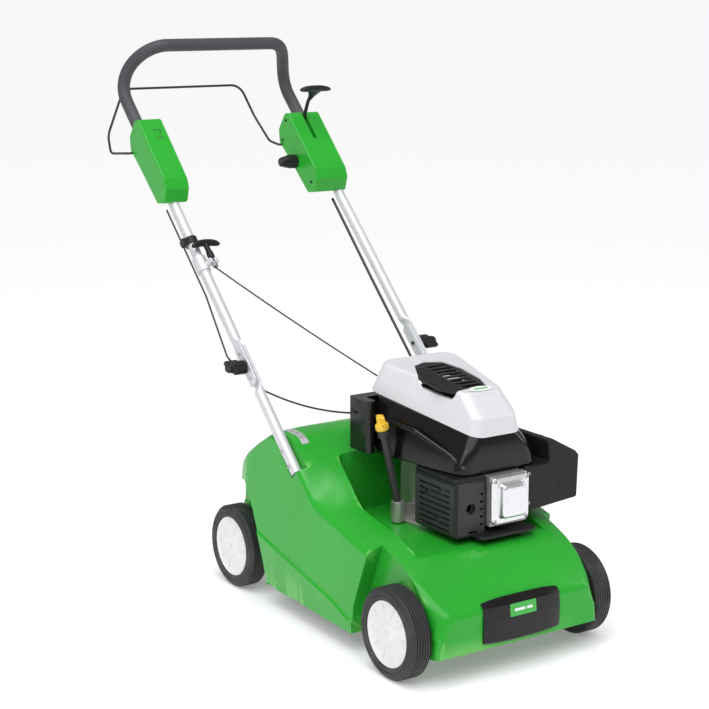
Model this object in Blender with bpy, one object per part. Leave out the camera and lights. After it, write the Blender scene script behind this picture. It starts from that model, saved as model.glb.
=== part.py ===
"""Petrol lawn scarifier: green housing on four wheels, vertical-shaft engine, folding handle.

Metres, +Z up, -Y is the nose, +X is the operator's left. Everything is laid out from the point on the
ground midway between the two axles, and moved at the end so that the whole machine stands centred over
the origin.
"""

import math

import bmesh
import bpy
from mathutils import Matrix, Vector

# --- driving dimensions ---------------------------------------------------------------------------------
CENTRE_Y = -0.2175           # moves the machine's middle over the origin

WHEEL_R = 0.097
WHEEL_W = 0.0505
WHEEL_STEPS = 24
AXLE_Y = 0.3335              # half of the wheelbase
FRONT_FACE_X = 0.265         # outer face of a front wheel
REAR_FACE_X = 0.2445         # outer face of a rear wheel
AXLE_R = 0.006

WALL = 0.0035                # housing wall
FRONT_BODY_X = 0.211         # half width of the body between the front wheels
REAR_BODY_X = 0.187          # half width of the body between the rear wheels
PAN_Z = 0.237                # floor the engine stands on

SWING_Y, SWING_Z = -0.225, 0.125      # pivot of the swinging front axle
BLADE_Y, BLADE_Z = 0.030, 0.110       # blade shaft
BLADE_R = 0.080
BLADE_XS = (-0.165, -0.120, -0.075, -0.030, 0.075, 0.120, 0.165)
FRAME_X = 0.1815             # outer face of the frame's side plates

ENGINE_X, ENGINE_Y = 0.053, -0.104    # crankshaft
DRIVE_R = 0.030              # belt line of the pulley on the crankshaft
DRIVEN_R = 0.040             # belt line of the pulley on the blade shaft
BELT_R = 0.0036
BELT_X = ENGINE_X - DRIVE_R
BELT_Z = BLADE_Z + DRIVEN_R

TUBE_X = 0.2345              # handle tubes, half spacing
TUBE_R = 0.0125
TUBE_BORE = 0.0110
GRIP_R = 0.0155
TUBE_FOOT = Vector((0.050, 0.3396))   # lower end of the handle (y, z)
TUBE_DIR = Vector((0.7142, 0.7000)).normalized()
FOLD = Vector((0.258, 0.5434))        # clamp screws (y, z)
BAIL_Y, BAIL_Z = 0.745, 0.987         # stop bail pivot
LEVER_Y, LEVER_Z = 0.722, 0.986       # height lever pivot
FLAP_Y, FLAP_Z = 0.359, 0.243         # rear flap hinge
GAP = 0.0003

# --- collections and materials --------------------------------------------------------------------------
for stale in list(bpy.data.objects):
    bpy.data.objects.remove(stale, do_unlink=True)

parts = bpy.data.collections.new("lawn_scarifier")
cutters = bpy.data.collections.new("cutters")
bpy.context.scene.collection.children.link(parts)
bpy.context.scene.collection.children.link(cutters)


def material(name, colour, roughness, metallic=0.0):
    made = bpy.data.materials.new(name)
    made.use_nodes = True
    shader = made.node_tree.nodes["Principled BSDF"]
    shader.inputs["Base Color"].default_value = (*colour, 1.0)
    shader.inputs["Roughness"].default_value = roughness
    shader.inputs["Metallic"].default_value = metallic
    return made


GREEN = material("green_plastic", (0.027, 0.39, 0.045), 0.3)
BLACK = material("black_plastic", (0.014, 0.014, 0.015), 0.4)
SILVER = material("silver_paint", (0.62, 0.62, 0.64), 0.35)
GRIP = material("grip_foam", (0.060, 0.060, 0.068), 0.7)
TYRE = material("tyre_rubber", (0.030, 0.030, 0.032), 0.75)
RIM = material("rim_plastic", (0.74, 0.74, 0.74), 0.4)
STEEL = material("steel", (0.42, 0.42, 0.43), 0.35, 1.0)
BLADE = material("blade_steel", (0.25, 0.24, 0.23), 0.45, 1.0)
ALUMINIUM = material("cast_aluminium", (0.48, 0.48, 0.47), 0.5, 1.0)
CHROME = material("bright_cover", (0.75, 0.75, 0.76), 0.2, 1.0)
YELLOW = material("yellow_plastic", (0.85, 0.55, 0.02), 0.35)
FRAME_PAINT = material("frame_paint", (0.05, 0.05, 0.055), 0.5)
RUBBER = material("belt_rubber", (0.02, 0.02, 0.02), 0.8)
SILVER_PLASTIC = material("silver_plastic", (0.62, 0.62, 0.64), 0.35)
CABLE = material("cable_sheath", (0.02, 0.02, 0.022), 0.5)


# --- building blocks ------------------------------------------------------------------------------------
def keep(name, mesh_builder, look, collection=parts):
    """Turns a bmesh into a named object with outward faces."""
    bmesh.ops.recalc_face_normals(mesh_builder, faces=mesh_builder.faces)
    mesh = bpy.data.meshes.new(name)
    mesh_builder.to_mesh(mesh)
    mesh_builder.free()
    mesh.materials.append(look)
    made = bpy.data.objects.new(name, mesh)
    collection.objects.link(made)
    return made


def rings(name, loops, look, closed=False, mirrored=False):
    """Skins a row of loops of 3-D points; one-point loops make a tip, and ends of three or more are capped.

    With mirrored, the two halves of a left-right symmetrical row of loops are split into mirrored triangles.
    """
    builder = bmesh.new()
    rows = [[builder.verts.new(p) for p in loop] for loop in loops]
    pairs = list(zip(rows, rows[1:]))
    if closed:
        pairs.append((rows[-1], rows[0]))
    for low, high in pairs:
        count = max(len(low), len(high))
        for i in range(count):
            j = (i + 1) % count
            face = [low[i % len(low)], low[j % len(low)], high[j % len(high)], high[i % len(high)]]
            if mirrored:
                first = 0 if i < count // 2 else 1
                face = face[first:] + face[:first]
                builder.faces.new(face[:3])
                builder.faces.new([face[0], *face[2:]])
            else:
                builder.faces.new(list(dict.fromkeys(face)))
    if not closed:
        for end in (rows[0], rows[-1]):
            if len(end) > 2:
                builder.faces.new(end)
    return keep(name, builder, look)


def prism(name, outline, axis, start, end, look):
    """Extrudes a flat outline along X, Y or Z; the outline holds the other two coordinates in order."""
    slot = "XYZ".index(axis)

    def place(point, along):
        point = list(point)
        point.insert(slot, along)
        return point

    return rings(name, [[place(p, a) for p in outline] for a in (start, end)], look)


def box(name, low, high, look):
    outline = [(low[0], low[1]), (high[0], low[1]), (high[0], high[1]), (low[0], high[1])]
    return prism(name, outline, "Z", low[2], high[2], look)


def frame_for(axis):
    """Rotation that carries +Z onto the axis."""
    return Vector((0, 0, 1)).rotation_difference(Vector(axis)).to_matrix()


def lathe(name, profile, centre, axis, look, steps=32, closed=True):
    """Turns (radius, along) points about an axis through the centre."""
    turn = frame_for(axis)
    loops = []
    for radius, along in profile:
        count = steps if radius > 1e-6 else 1
        angles = [2 * math.pi * (i + 0.5) / steps for i in range(count)]
        loops.append([Vector(centre) + turn @ Vector((radius * math.cos(a), radius * math.sin(a), along))
                      for a in angles])
    return rings(name, loops, look, closed)


def rod(name, start, end, radius, look, steps=16):
    """A plain round bar between two points."""
    start, end = Vector(start), Vector(end)
    length = (end - start).length
    return lathe(name, [(radius, 0), (radius, length)], start, end - start, look, steps, closed=False)


def rounded(points, radius, steps=5, loop=False):
    """Path through the points with every inner corner turned into an arc."""
    points = [Vector(p) for p in points]
    path = [] if loop else [points[0]]
    corners = range(len(points)) if loop else range(1, len(points) - 1)
    for i in corners:
        here, before, after = points[i], points[i - 1], points[(i + 1) % len(points)]
        back, ahead = (before - here).normalized(), (after - here).normalized()
        half = back.angle(ahead) / 2
        if half > math.pi / 2 - 0.01:
            path.append(here)
            continue
        reach = min(radius / math.tan(half), 0.49 * (before - here).length, 0.49 * (after - here).length)
        bend = reach * math.tan(half)
        centre = here + (back + ahead).normalized() * bend / math.sin(half)
        first, last = here + back * reach - centre, here + ahead * reach - centre
        sweep_angle = first.angle(last)
        for k in range(steps + 1):
            t = k / steps
            mix = (math.sin((1 - t) * sweep_angle) * first + math.sin(t * sweep_angle) * last)
            path.append(centre + mix / math.sin(sweep_angle))
    if not loop:
        path.append(points[-1])
    return path


def sweep(name, path, radius, look, sides=12, bore=None, loop=False):
    """Round bar or tube along a path, its section carried round the bends without twisting."""
    count = len(path)
    tangents = []
    for i in range(count):
        before = path[i - 1] if loop or i else path[i]
        after = path[(i + 1) % count] if loop or i < count - 1 else path[i]
        tangents.append((after - before).normalized())
    side = tangents[0].orthogonal().normalized()
    outer, inner = [], []
    for i, (point, along) in enumerate(zip(path, tangents)):
        if i:
            side = tangents[i - 1].rotation_difference(along) @ side
        up = along.cross(side)
        round_dirs = [side * math.cos(a) + up * math.sin(a)
                      for a in (2 * math.pi * (k + 0.5) / sides for k in range(sides))]
        outer.append([point + d * radius for d in round_dirs])
        if bore:
            inner.append([point + d * bore for d in round_dirs])
    loops = outer + inner[::-1]
    return rings(name, loops, look, closed=bool(bore) or loop)


def combine(target, tool, operation):
    modifier = target.modifiers.new(tool.name, "BOOLEAN")
    modifier.operation = operation
    modifier.solver = "EXACT"
    modifier.object = tool
    parts.objects.unlink(tool)
    cutters.objects.link(tool)
    tool.hide_render = True
    tool.display_type = "WIRE"
    return target


def cut(target, *tools):
    for tool in tools:
        combine(target, tool, "DIFFERENCE")
    return target


def join(target, *tools):
    for tool in tools:
        combine(target, tool, "UNION")
    return target


def pivot_at(part, point):
    """Moves the object's own origin onto its joint axis."""
    point = Vector(point)
    part.data.transform(Matrix.Translation(-point))
    part.location = point
    return part


def rounded_outline(low, high, radius, steps=4):
    corners = [(low[0], low[1], 0), (high[0], low[1], 0), (high[0], high[1], 0), (low[0], high[1], 0)]
    return [(p.x, p.y) for p in rounded(corners, radius, steps, loop=True)]


def side_name(side):
    return "right" if side < 0 else "left"


# --- housing --------------------------------------------------------------------------------------------
# From nose to tail: y, bottom edge (x, z), side crease (x, z), shoulder (x, z), deck edge (x, z), middle z
HOUSING_SECTIONS = (
    (-0.4420, (0.207, 0.063), (0.203, 0.100), (0.182, 0.146), (0.115, 0.148), 0.149),
    (-0.4150, (0.215, 0.058), (0.216, 0.100), (0.200, 0.166), (0.130, 0.172), 0.174),
    (-0.3700, (0.225, 0.052), (0.229, 0.100), (0.215, 0.196), (0.150, 0.206), 0.208),
    (-0.3250, (0.236, 0.048), (0.240, 0.085), (0.226, 0.219), (0.170, 0.231), 0.235),
    (-0.2410, (0.246, 0.047), (0.249, 0.070), (0.246, 0.243), (0.175, 0.262), 0.268),
    (-0.1700, (0.246, 0.046), (0.250, 0.075), (0.247, 0.259), (0.172, 0.277), 0.282),
    (-0.1060, (0.244, 0.046), (0.250, 0.096), (0.246, 0.275), (0.170, 0.292), 0.294),
    (-0.0350, (0.242, 0.046), (0.250, 0.112), (0.245, 0.293), (0.165, 0.333), 0.335),
    (0.0130, (0.241, 0.047), (0.250, 0.123), (0.244, 0.337), (0.160, 0.358), 0.358),
    (0.0600, (0.240, 0.047), (0.250, 0.134), (0.243, 0.380), (0.160, 0.387), 0.384),
    (0.1000, (0.240, 0.048), (0.250, 0.143), (0.242, 0.409), (0.165, 0.412), 0.406),
    (0.1400, (0.239, 0.048), (0.250, 0.152), (0.240, 0.409), (0.165, 0.415), 0.412),
    (0.2030, (0.237, 0.048), (0.250, 0.167), (0.237, 0.380), (0.165, 0.397), 0.400),
    (0.2570, (0.236, 0.048), (0.249, 0.180), (0.236, 0.346), (0.160, 0.367), 0.371),
    (0.3050, (0.230, 0.050), (0.238, 0.190), (0.223, 0.312), (0.155, 0.335), 0.339),
    (0.3450, (0.1865, 0.055), (0.1865, 0.190), (0.184, 0.278), (0.150, 0.300), 0.303),
    (0.3660, (0.1855, 0.060), (0.1855, 0.190), (0.180, 0.262), (0.145, 0.272), 0.274),
)


def housing_loop(section, inset):
    y, bottom, crease, shoulder, deck, middle = section
    half = [
        (bottom[0] - inset, bottom[1] - 14 * inset),
        (crease[0] - inset, crease[1]),
        (shoulder[0] - inset, shoulder[1] - inset),
        (deck[0], deck[1] - inset),
    ]
    loop = [(-x, z) for x, z in half] + [(0, middle - inset)] + half[::-1]
    return [(x, y, z) for x, z in loop]


def housing_solid(name, inset=0.0):
    """The housing's outside, or with an inset its open-bottomed, open-tailed inside."""
    loops = [housing_loop(section, inset) for section in HOUSING_SECTIONS]
    if inset:
        loops[0] = [(x, y + inset, z) for x, y, z in loops[0]]
        loops.append([(x, y + 0.02, z - 0.02) for x, y, z in loops[-1]])
    return rings(name, loops, GREEN, mirrored=True)


def front_bay(name, side, grow=0.0):
    """Space for a front wheel, open to the front, the side and the bottom."""
    outline = [
        (-0.243 + grow, 0.400), (-0.243 + grow, 0.244), (-0.220 + grow, 0.188),
        (-0.190 + grow, 0.113), (-0.168 + grow, -0.050), (-0.500, -0.050), (-0.500, 0.400),
    ]
    return prism(name, outline, "X", side * (FRONT_BODY_X - grow), side * 0.300, GREEN)


def rear_bay(name, side, grow=0.0):
    """Space for a rear wheel below the swept-back rear corner."""
    outline = [
        (0.179 - grow, -0.050), (0.179 - grow, 0.050), (0.187 - grow, 0.106), (0.199 - grow, 0.162),
        (0.229 - grow, 0.218 + grow), (0.273, 0.276 + grow), (0.420, 0.226 + grow), (0.420, -0.050),
    ]
    return prism(name, outline, "X", side * (REAR_BODY_X - grow), side * 0.300, GREEN)


def engine_well(name, grow=0.0):
    """Recess in the deck that the engine stands in."""
    back, front, narrow, wide = 0.034 + grow, -0.336 - grow, 0.136 + grow, 0.168 + grow
    corners = [(-narrow, back, 0), (narrow, back, 0), (wide, -0.110, 0), (wide, front, 0), (-wide, front, 0),
               (-wide, -0.110, 0)]
    outline = [(p.x, p.y) for p in rounded(corners, 0.020, 3, loop=True)]
    return prism(name, outline, "Z", PAN_Z - grow, 0.500, GREEN)


def tube_seat(name, side, grow=0.0):
    """Notch in the shoulder that takes the foot of a handle tube."""
    across = Vector((TUBE_DIR.y, -TUBE_DIR.x))
    low = TUBE_FOOT + across * (TUBE_R + GAP + grow) - TUBE_DIR * (0.004 + grow)
    high = low + TUBE_DIR * 0.170
    outline = [low, high, high - across * 0.100, low - across * 0.100]
    inner = TUBE_X - TUBE_R - 0.001 - grow
    return prism(name, outline, "X", side * inner, side * 0.300, GREEN)


def build_housing():
    shell = housing_solid("housing_shell")
    cavity = housing_solid("housing_cavity", WALL)
    for side in (-1, 1):
        tag = side_name(side)
        cut(shell, front_bay(f"front_bay_{tag}", side), rear_bay(f"rear_bay_{tag}", side),
            tube_seat(f"tube_seat_{tag}", side))
        cut(cavity, front_bay(f"front_bay_inside_{tag}", side, WALL),
            rear_bay(f"rear_bay_inside_{tag}", side, WALL), tube_seat(f"tube_seat_inside_{tag}", side, WALL))
    cut(shell, engine_well("engine_well"))
    cut(cavity, engine_well("engine_well_inside", WALL))
    cut(shell, cavity)
    slot_low, slot_high = (-0.300, -0.3485, 0.0), (0.300, -0.3130, 0.186)
    cut(shell, box("front_axle_slot", slot_low, slot_high, GREEN))
    cut(shell, box("rear_axle_slot", (-0.300, AXLE_Y - 0.008, 0.0), (0.300, AXLE_Y + 0.008, 0.106), GREEN))
    cut(shell, rod("crank_hole", (ENGINE_X, ENGINE_Y, 0.2), (ENGINE_X, ENGINE_Y, 0.3), 0.024, GREEN, 24))
    cut(shell, rod("flap_pin_holes", (-0.3, FLAP_Y, FLAP_Z), (0.3, FLAP_Y, FLAP_Z), 0.0030, GREEN, 12))
    return shell


def build_nose():
    """Black carrying grip across the nose with a blank badge on it."""
    outline = [(-0.4424, 0.149), (-0.4300, 0.1625), (-0.4360, 0.1650), (-0.4500, 0.150), (-0.4525, 0.070),
               (-0.4424, 0.066)]
    grip = prism("front_grip", outline, "X", -0.100, 0.100, BLACK)
    cut(grip, box("finger_recess", (-0.080, -0.4485, 0.060), (0.080, -0.4400, 0.105), BLACK))
    badge_outline = [(-0.4503, 0.1470), (-0.4517, 0.1470), (-0.4530, 0.1150), (-0.4513, 0.1150)]
    prism("badge", badge_outline, "X", -0.038, 0.038, GREEN)
    return grip


# --- frame, axles and wheels ----------------------------------------------------------------------------
def build_frame():
    """Steel channel under the housing that carries the engine, the blade shaft and both axles."""
    side_outline = [
        (-0.260, 0.2332), (-0.260, 0.108), (-0.190, 0.100), (-0.060, 0.080), (0.350, 0.076),
        (0.350, 0.125), (0.290, 0.200), (0.200, 0.2332),
    ]
    frame = prism("chassis_frame", side_outline, "X", -FRAME_X, FRAME_X, FRAME_PAINT)
    inside = FRAME_X - 0.002
    cut(frame, box("frame_inside", (-inside, -0.300, 0.000), (inside, 0.400, 0.2312), FRAME_PAINT))
    holes = (("swing_hole", SWING_Y, SWING_Z, 0.0080), ("shaft_hole", BLADE_Y, BLADE_Z, 0.0110),
             ("axle_hole", AXLE_Y, WHEEL_R, AXLE_R + GAP))
    for name, y, z, radius in holes:
        cut(frame, rod(name, (-0.3, y, z), (0.3, y, z), radius, FRAME_PAINT, 20))
    cut(frame, rod("frame_crank_hole", (ENGINE_X, ENGINE_Y, 0.2), (ENGINE_X, ENGINE_Y, 0.3), 0.024,
                   FRAME_PAINT, 24))
    return frame


def build_axles():
    rod("rear_axle", (-0.243, AXLE_Y, WHEEL_R), (0.243, AXLE_Y, WHEEL_R), AXLE_R, STEEL)
    arm_x, end_x = 0.196, FRONT_FACE_X - 0.0015
    corners = [
        (-end_x, -AXLE_Y, WHEEL_R), (-arm_x, -AXLE_Y, WHEEL_R), (-arm_x, SWING_Y, SWING_Z),
        (arm_x, SWING_Y, SWING_Z), (arm_x, -AXLE_Y, WHEEL_R), (end_x, -AXLE_Y, WHEEL_R),
    ]
    axle = sweep("front_axle", rounded(corners, 0.012, 2), AXLE_R, STEEL, sides=10)
    pivot_at(axle, (0, SWING_Y, SWING_Z))


def build_wheel(name, side, y, face_x):
    """Ribbed tyre on a closed disc wheel; the tyre stands on one of its flats."""
    centre = (side * face_x, y, WHEEL_R)
    inward = (-side, 0, 0)
    tread = WHEEL_R / math.cos(math.pi / WHEEL_STEPS)
    tyre = [
        (0.0702, 0.003), (0.0740, 0.000), (0.0900, 0.001), (tread, 0.008),
        (tread, WHEEL_W - 0.008), (0.0900, WHEEL_W - 0.001), (0.0702, WHEEL_W - 0.003),
    ]
    rim = [
        (AXLE_R + GAP, 0.0010), (0.0190, 0.0015), (0.0600, 0.0060), (0.0698, 0.0030),
        (0.0698, WHEEL_W - 0.004), (0.0640, WHEEL_W - 0.004), (0.0610, 0.0100), (0.0190, 0.0090),
        (0.0160, WHEEL_W - 0.001), (AXLE_R + GAP, WHEEL_W - 0.001),
    ]
    for part_name, profile, look in ((f"tyre_{name}", tyre, TYRE), (f"rim_{name}", rim, RIM)):
        pivot_at(lathe(part_name, profile, centre, inward, look, WHEEL_STEPS), centre)


# --- blade shaft and drive ------------------------------------------------------------------------------
def build_blade(index, x):
    """Two-armed lawn knife: a plate with a round bore and two swept points."""
    steps = 16
    turn = index * math.pi / 5
    outer, inner = [], []
    for k in range(steps):
        angle = 2 * math.pi * k / steps
        lean = (2 * k / steps) % 1.0
        radius = 0.022 + (BLADE_R - 0.022) * max(0.0, 1 - 3.4 * min(lean, 1.5 * (1 - lean)))
        spot = Vector((math.cos(angle + turn), math.sin(angle + turn)))
        outer.append(Vector((BLADE_Y, BLADE_Z)) + spot * radius)
        inner.append(Vector((BLADE_Y, BLADE_Z)) + spot * 0.0103)
    loops = []
    for ring, along in ((outer, -0.0015), (outer, 0.0015), (inner, 0.0015), (inner, -0.0015)):
        loops.append([(x + along, p.x, p.y) for p in ring])
    blade = rings(f"blade_{index + 1}", loops, BLADE, closed=True)
    pivot_at(blade, (x, BLADE_Y, BLADE_Z))


def build_blade_shaft():
    shaft = rod("blade_shaft", (-0.196, BLADE_Y, BLADE_Z), (0.196, BLADE_Y, BLADE_Z), 0.0100, STEEL, 20)
    pivot_at(shaft, (0, BLADE_Y, BLADE_Z))
    for index, x in enumerate(BLADE_XS):
        build_blade(index, x)
    bearing = [(0.0104, 0.0), (0.0280, 0.0), (0.0280, 0.003), (0.0190, 0.005), (0.0190, 0.014),
               (0.0104, 0.014)]
    for side in (-1, 1):
        centre = (side * (FRAME_X + GAP), BLADE_Y, BLADE_Z)
        lathe(f"blade_bearing_{side_name(side)}", bearing, centre, (side, 0, 0), STEEL, 20)


def pulley_profile(bore, belt_line):
    """Flat pulley for a belt that leaves it at an angle."""
    face = belt_line - BELT_R - 0.0008
    return [(bore, -0.012), (face - 0.0010, -0.012), (face, -0.006), (face, 0.006), (face - 0.0010, 0.012),
            (bore, 0.012)]


def arc(centre, radius, start, end, flat, steps=9):
    """Points round a pulley, in the plane at right angles to the X or Z axis."""
    points = []
    for k in range(steps + 1):
        angle = math.radians(start + (end - start) * k / steps)
        c, s = radius * math.cos(angle), radius * math.sin(angle)
        points.append(Vector(centre) + Vector((0, c, s) if flat == "X" else (c, s, 0)))
    return points


def build_drive():
    """Crankshaft pulley, quarter-turn belt and the pulley in the middle of the blade shaft."""
    drive_centre = (ENGINE_X, ENGINE_Y, BELT_Z)
    driven_centre = (BELT_X, BLADE_Y, BLADE_Z)
    pivot_at(lathe("drive_pulley", pulley_profile(0.0128, DRIVE_R), drive_centre, (0, 0, 1), STEEL, 16),
             drive_centre)
    pivot_at(lathe("blade_pulley", pulley_profile(0.0103, DRIVEN_R), driven_centre, (1, 0, 0), STEEL, 16),
             driven_centre)
    path = arc(drive_centre, DRIVE_R, 180, 390, "Z") + arc(driven_centre, DRIVEN_R, -123, 90, "X")
    sweep("v_belt", path, BELT_R, RUBBER, sides=6, loop=True)


# --- engine ---------------------------------------------------------------------------------------------
def build_crankcase():
    case = lathe("crankcase", [(0, 0.2373), (0.110, 0.2373), (0.110, 0.2440), (0.102, 0.2485), (0, 0.2485)],
                 (ENGINE_X, ENGINE_Y, 0), (0, 0, 1), ALUMINIUM, 32, closed=False)
    body = prism("crankcase_body", rounded_outline((-0.022, -0.1500), (0.128, -0.030), 0.018, 3), "Z",
                 0.245, 0.3760, ALUMINIUM)
    boss = rod("oil_boss", (-0.066, -0.094, 0.240), (-0.066, -0.094, 0.286), 0.0150, ALUMINIUM)
    web = box("oil_boss_web", (-0.060, -0.103, 0.245), (-0.015, -0.087, 0.275), ALUMINIUM)
    join(case, body, boss, web)
    cut(case, box("crank_chamber", (-0.014, -0.142, 0.252), (0.120, -0.038, 0.368), ALUMINIUM))
    cut(case, rod("crank_bore", (ENGINE_X, ENGINE_Y, 0.2), (ENGINE_X, ENGINE_Y, 0.4), 0.0135, ALUMINIUM, 20))


def build_cylinder():
    """Finned block between the crankcase and the valve cover."""
    half, mid, fins = 0.049, 0.0675, 7
    outline = [(mid - half, -0.3100), (mid + half, -0.3100)]
    right = []
    for k in range(fins):
        y = -0.300 + 0.148 * (k + 0.5) / fins
        right += [(mid + half, y - 0.003), (mid + half - 0.012, y - 0.003), (mid + half - 0.012, y + 0.007),
                  (mid + half, y + 0.007)]
    outline += right[:-2]
    outline += [(mid + half - 0.012, -0.1503), (mid - half, -0.1503)]
    block = prism("cylinder", outline, "Z", 0.268, 0.3760, ALUMINIUM)
    cut(block, rod("piston_bore", (mid, -0.290, 0.320), (mid, -0.100, 0.320), 0.0300, ALUMINIUM, 20))


def build_valve_cover():
    steps = ((-0.3103, 0.000), (-0.3180, 0.000), (-0.3190, 0.017), (-0.3310, 0.019), (-0.3340, 0.024))
    loops = []
    for y, inset in steps:
        outline = rounded_outline((0.018 + inset, 0.272 + 0.8 * inset), (0.118 - inset, 0.3745 - 0.8 * inset),
                                  0.010, 3)
        loops.append([(x, y, z) for x, z in outline])
    rings("valve_cover", loops, CHROME)


def build_muffler():
    muffler = box("muffler", (-0.058, -0.290, 0.260), (0.010, -0.166, 0.364), FRAME_PAINT)
    cut(muffler, rod("outlet", (-0.024, -0.400, 0.312), (-0.024, -0.270, 0.312), 0.009, FRAME_PAINT, 16),
        box("muffler_inside", (-0.0565, -0.2885, 0.2615), (0.0085, -0.1675, 0.3625), FRAME_PAINT))
    guard_outline = rounded_outline((-0.065, 0.2500), (0.0165, 0.3740), 0.008, 2)
    guard = prism("muffler_guard", guard_outline, "Y", -0.300, -0.154, BLACK)
    cut(guard, box("guard_inside", (-0.0625, -0.2975, 0.2525), (0.0140, -0.100, 0.3715), BLACK))
    for k in range(8):
        z = 0.263 + 0.0125 * k
        cut(guard, box(f"guard_slot_{k}", (-0.080, -0.288, z), (-0.060, -0.166, z + 0.0055), BLACK))
    cut(guard, rod("guard_outlet", (-0.024, -0.310, 0.312), (-0.024, -0.290, 0.312), 0.0105, BLACK, 16))


def build_air_filter():
    outline = [(0.1220, 0.280), (0.2680, 0.291), (0.2710, 0.386), (0.2620, 0.396), (0.1960, 0.432),
               (0.1830, 0.432), (0.1885, 0.3800), (0.1220, 0.3800)]
    filter_box = prism("air_filter_box", outline, "Y", -0.300, -0.1550, BLACK)
    inside = [(0.1100, 0.2830), (0.2650, 0.2940), (0.2680, 0.3840), (0.1930, 0.3840), (0.1930, 0.3770),
              (0.1100, 0.3770)]
    cut(filter_box, prism("filter_inside", inside, "Y", -0.297, -0.158, BLACK))


def tapered(name, *levels, look, corner=0.025):
    """Block through rounded four-sided levels whose front and rear edges may stand at different heights.

    Each level is (x rear right, x rear left, x front right, x front left, y rear, y front, z rear, z front).
    """
    loops = []
    for rear_l, rear_r, front_l, front_r, y_rear, y_front, z_rear, z_front in levels:
        corners = [(rear_l, y_rear, z_rear), (rear_r, y_rear, z_rear), (front_r, y_front, z_front),
                   (front_l, y_front, z_front)]
        loops.append(rounded(corners, corner, 3, loop=True))
    return rings(name, loops, look)


def build_covers():
    """Black blower shroud, silver starter cover on it and the dark inlet grille on top."""
    shroud = tapered("blower_shroud", (-0.085, 0.183, -0.045, 0.165, -0.005, -0.290, 0.3820, 0.3820),
                     (-0.078, 0.178, -0.004, 0.118, -0.005, -0.287, 0.5140, 0.4575), look=BLACK)
    cut(shroud, tapered("shroud_inside", (-0.082, 0.180, -0.042, 0.162, -0.008, -0.287, 0.3700, 0.3700),
                        (-0.073, 0.173, 0.000, 0.114, -0.010, -0.282, 0.5330, 0.4700), look=BLACK))
    outside = ((-0.077, 0.180, -0.004, 0.118, 0.022, -0.290, 0.5195, 0.4580),
               (-0.070, 0.173, 0.000, 0.112, 0.017, -0.285, 0.5400, 0.4950),
               (-0.052, 0.145, 0.012, 0.100, 0.000, -0.236, 0.5800, 0.5432))
    inside = [(a + 0.003, b - 0.003, c + 0.003, d - 0.003, e - 0.003, f + 0.003, g - 0.003, h - 0.003)
              for a, b, c, d, e, f, g, h in outside]
    inside.insert(0, tuple(v - 0.010 if k > 5 else v for k, v in enumerate(inside[0])))
    cover = tapered("starter_cover", *outside, look=SILVER_PLASTIC)
    cut(cover, tapered("cover_inside", *inside, look=SILVER))
    tilt = Matrix.Translation((0, 0, 0.5800)) @ Matrix.Rotation(math.atan(0.156), 4, "X")
    opening = [(0.004, -0.056), (-0.028, -0.115), (-0.030, -0.185), (-0.006, -0.219), (0.040, -0.214),
               (0.080, -0.219), (0.096, -0.173), (0.097, -0.106), (0.081, -0.055), (0.040, -0.042)]
    middle = Vector((0.035, -0.130))
    hole = prism("grille_hole", opening, "Z", -0.020, 0.020, SILVER)
    hole.data.transform(tilt)
    cut(cover, hole)
    plate_outline = [middle + (Vector(p) - middle) * 0.985 for p in opening]
    grille = prism("inlet_grille", plate_outline, "Z", -0.0055, -0.0030, BLACK)
    grille.data.transform(tilt)
    for k in range(7):
        y = -0.064 - 0.0200 * k
        slot = box(f"grille_slot_{k}", (0.010, y - 0.009, -0.02), (0.078, y, 0.02), BLACK)
        slot.data.transform(tilt)
        cut(grille, slot)


FILLER = (0.210, 0.015, 0.4720)


def build_fuel_tank():
    """Tank wrapped round the left and back of the shroud, filled at its low right-hand end."""
    outline = [(-0.112, -0.045), (-0.112, 0.018), (-0.100, 0.0315), (0.160, 0.0315), (0.160, -0.001),
               (-0.0885, -0.001), (-0.0885, -0.045)]
    tank = prism("fuel_tank", outline, "Z", 0.387, 0.503, BLACK)
    lobe = prism("tank_lobe", rounded_outline((0.150, -0.0010), (0.236, 0.0315), 0.010, 3), "Z", 0.387, 0.466,
                 BLACK)
    neck = rod("tank_neck", (FILLER[0], FILLER[1], 0.460), FILLER, 0.0130, BLACK, 20)
    join(tank, lobe, neck)
    cap = lathe("fuel_cap", [(0, 0.0), (0.020, 0.0), (0.021, 0.003), (0.020, 0.012), (0.016, 0.015), (0, 0.015)],
                (*FILLER[:2], FILLER[2] + GAP), (0, 0, 1), BLACK, 20, closed=False)
    pivot_at(cap, (*FILLER[:2], FILLER[2] + GAP))


OIL_FOOT = Vector((-0.068, -0.0940, 0.2885))
OIL_TOP = Vector((-0.101, -0.0860, 0.4480))


def build_oil_filler():
    sweep("oil_tube", [OIL_FOOT, OIL_TOP], 0.0085, BLACK, sides=16, bore=0.0040)
    along = (OIL_TOP - OIL_FOOT).normalized()
    stick = [(0, -0.130), (0.0030, -0.130), (0.0030, GAP), (0.0130, GAP), (0.0150, 0.004), (0.0150, 0.012),
             (0.0105, 0.016), (0.0095, 0.030), (0, 0.032)]
    dipstick = lathe("oil_dipstick", stick, OIL_TOP, along, YELLOW, 16, closed=False)
    wings = prism("dipstick_wings", [(-0.018, 0.014), (0.018, 0.014), (0.015, 0.034), (-0.015, 0.034)], "Y",
                  -0.0040, 0.0040, YELLOW)
    wings.data.transform(Matrix.Translation(OIL_TOP) @ frame_for(along).to_4x4())
    join(dipstick, wings)


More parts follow.
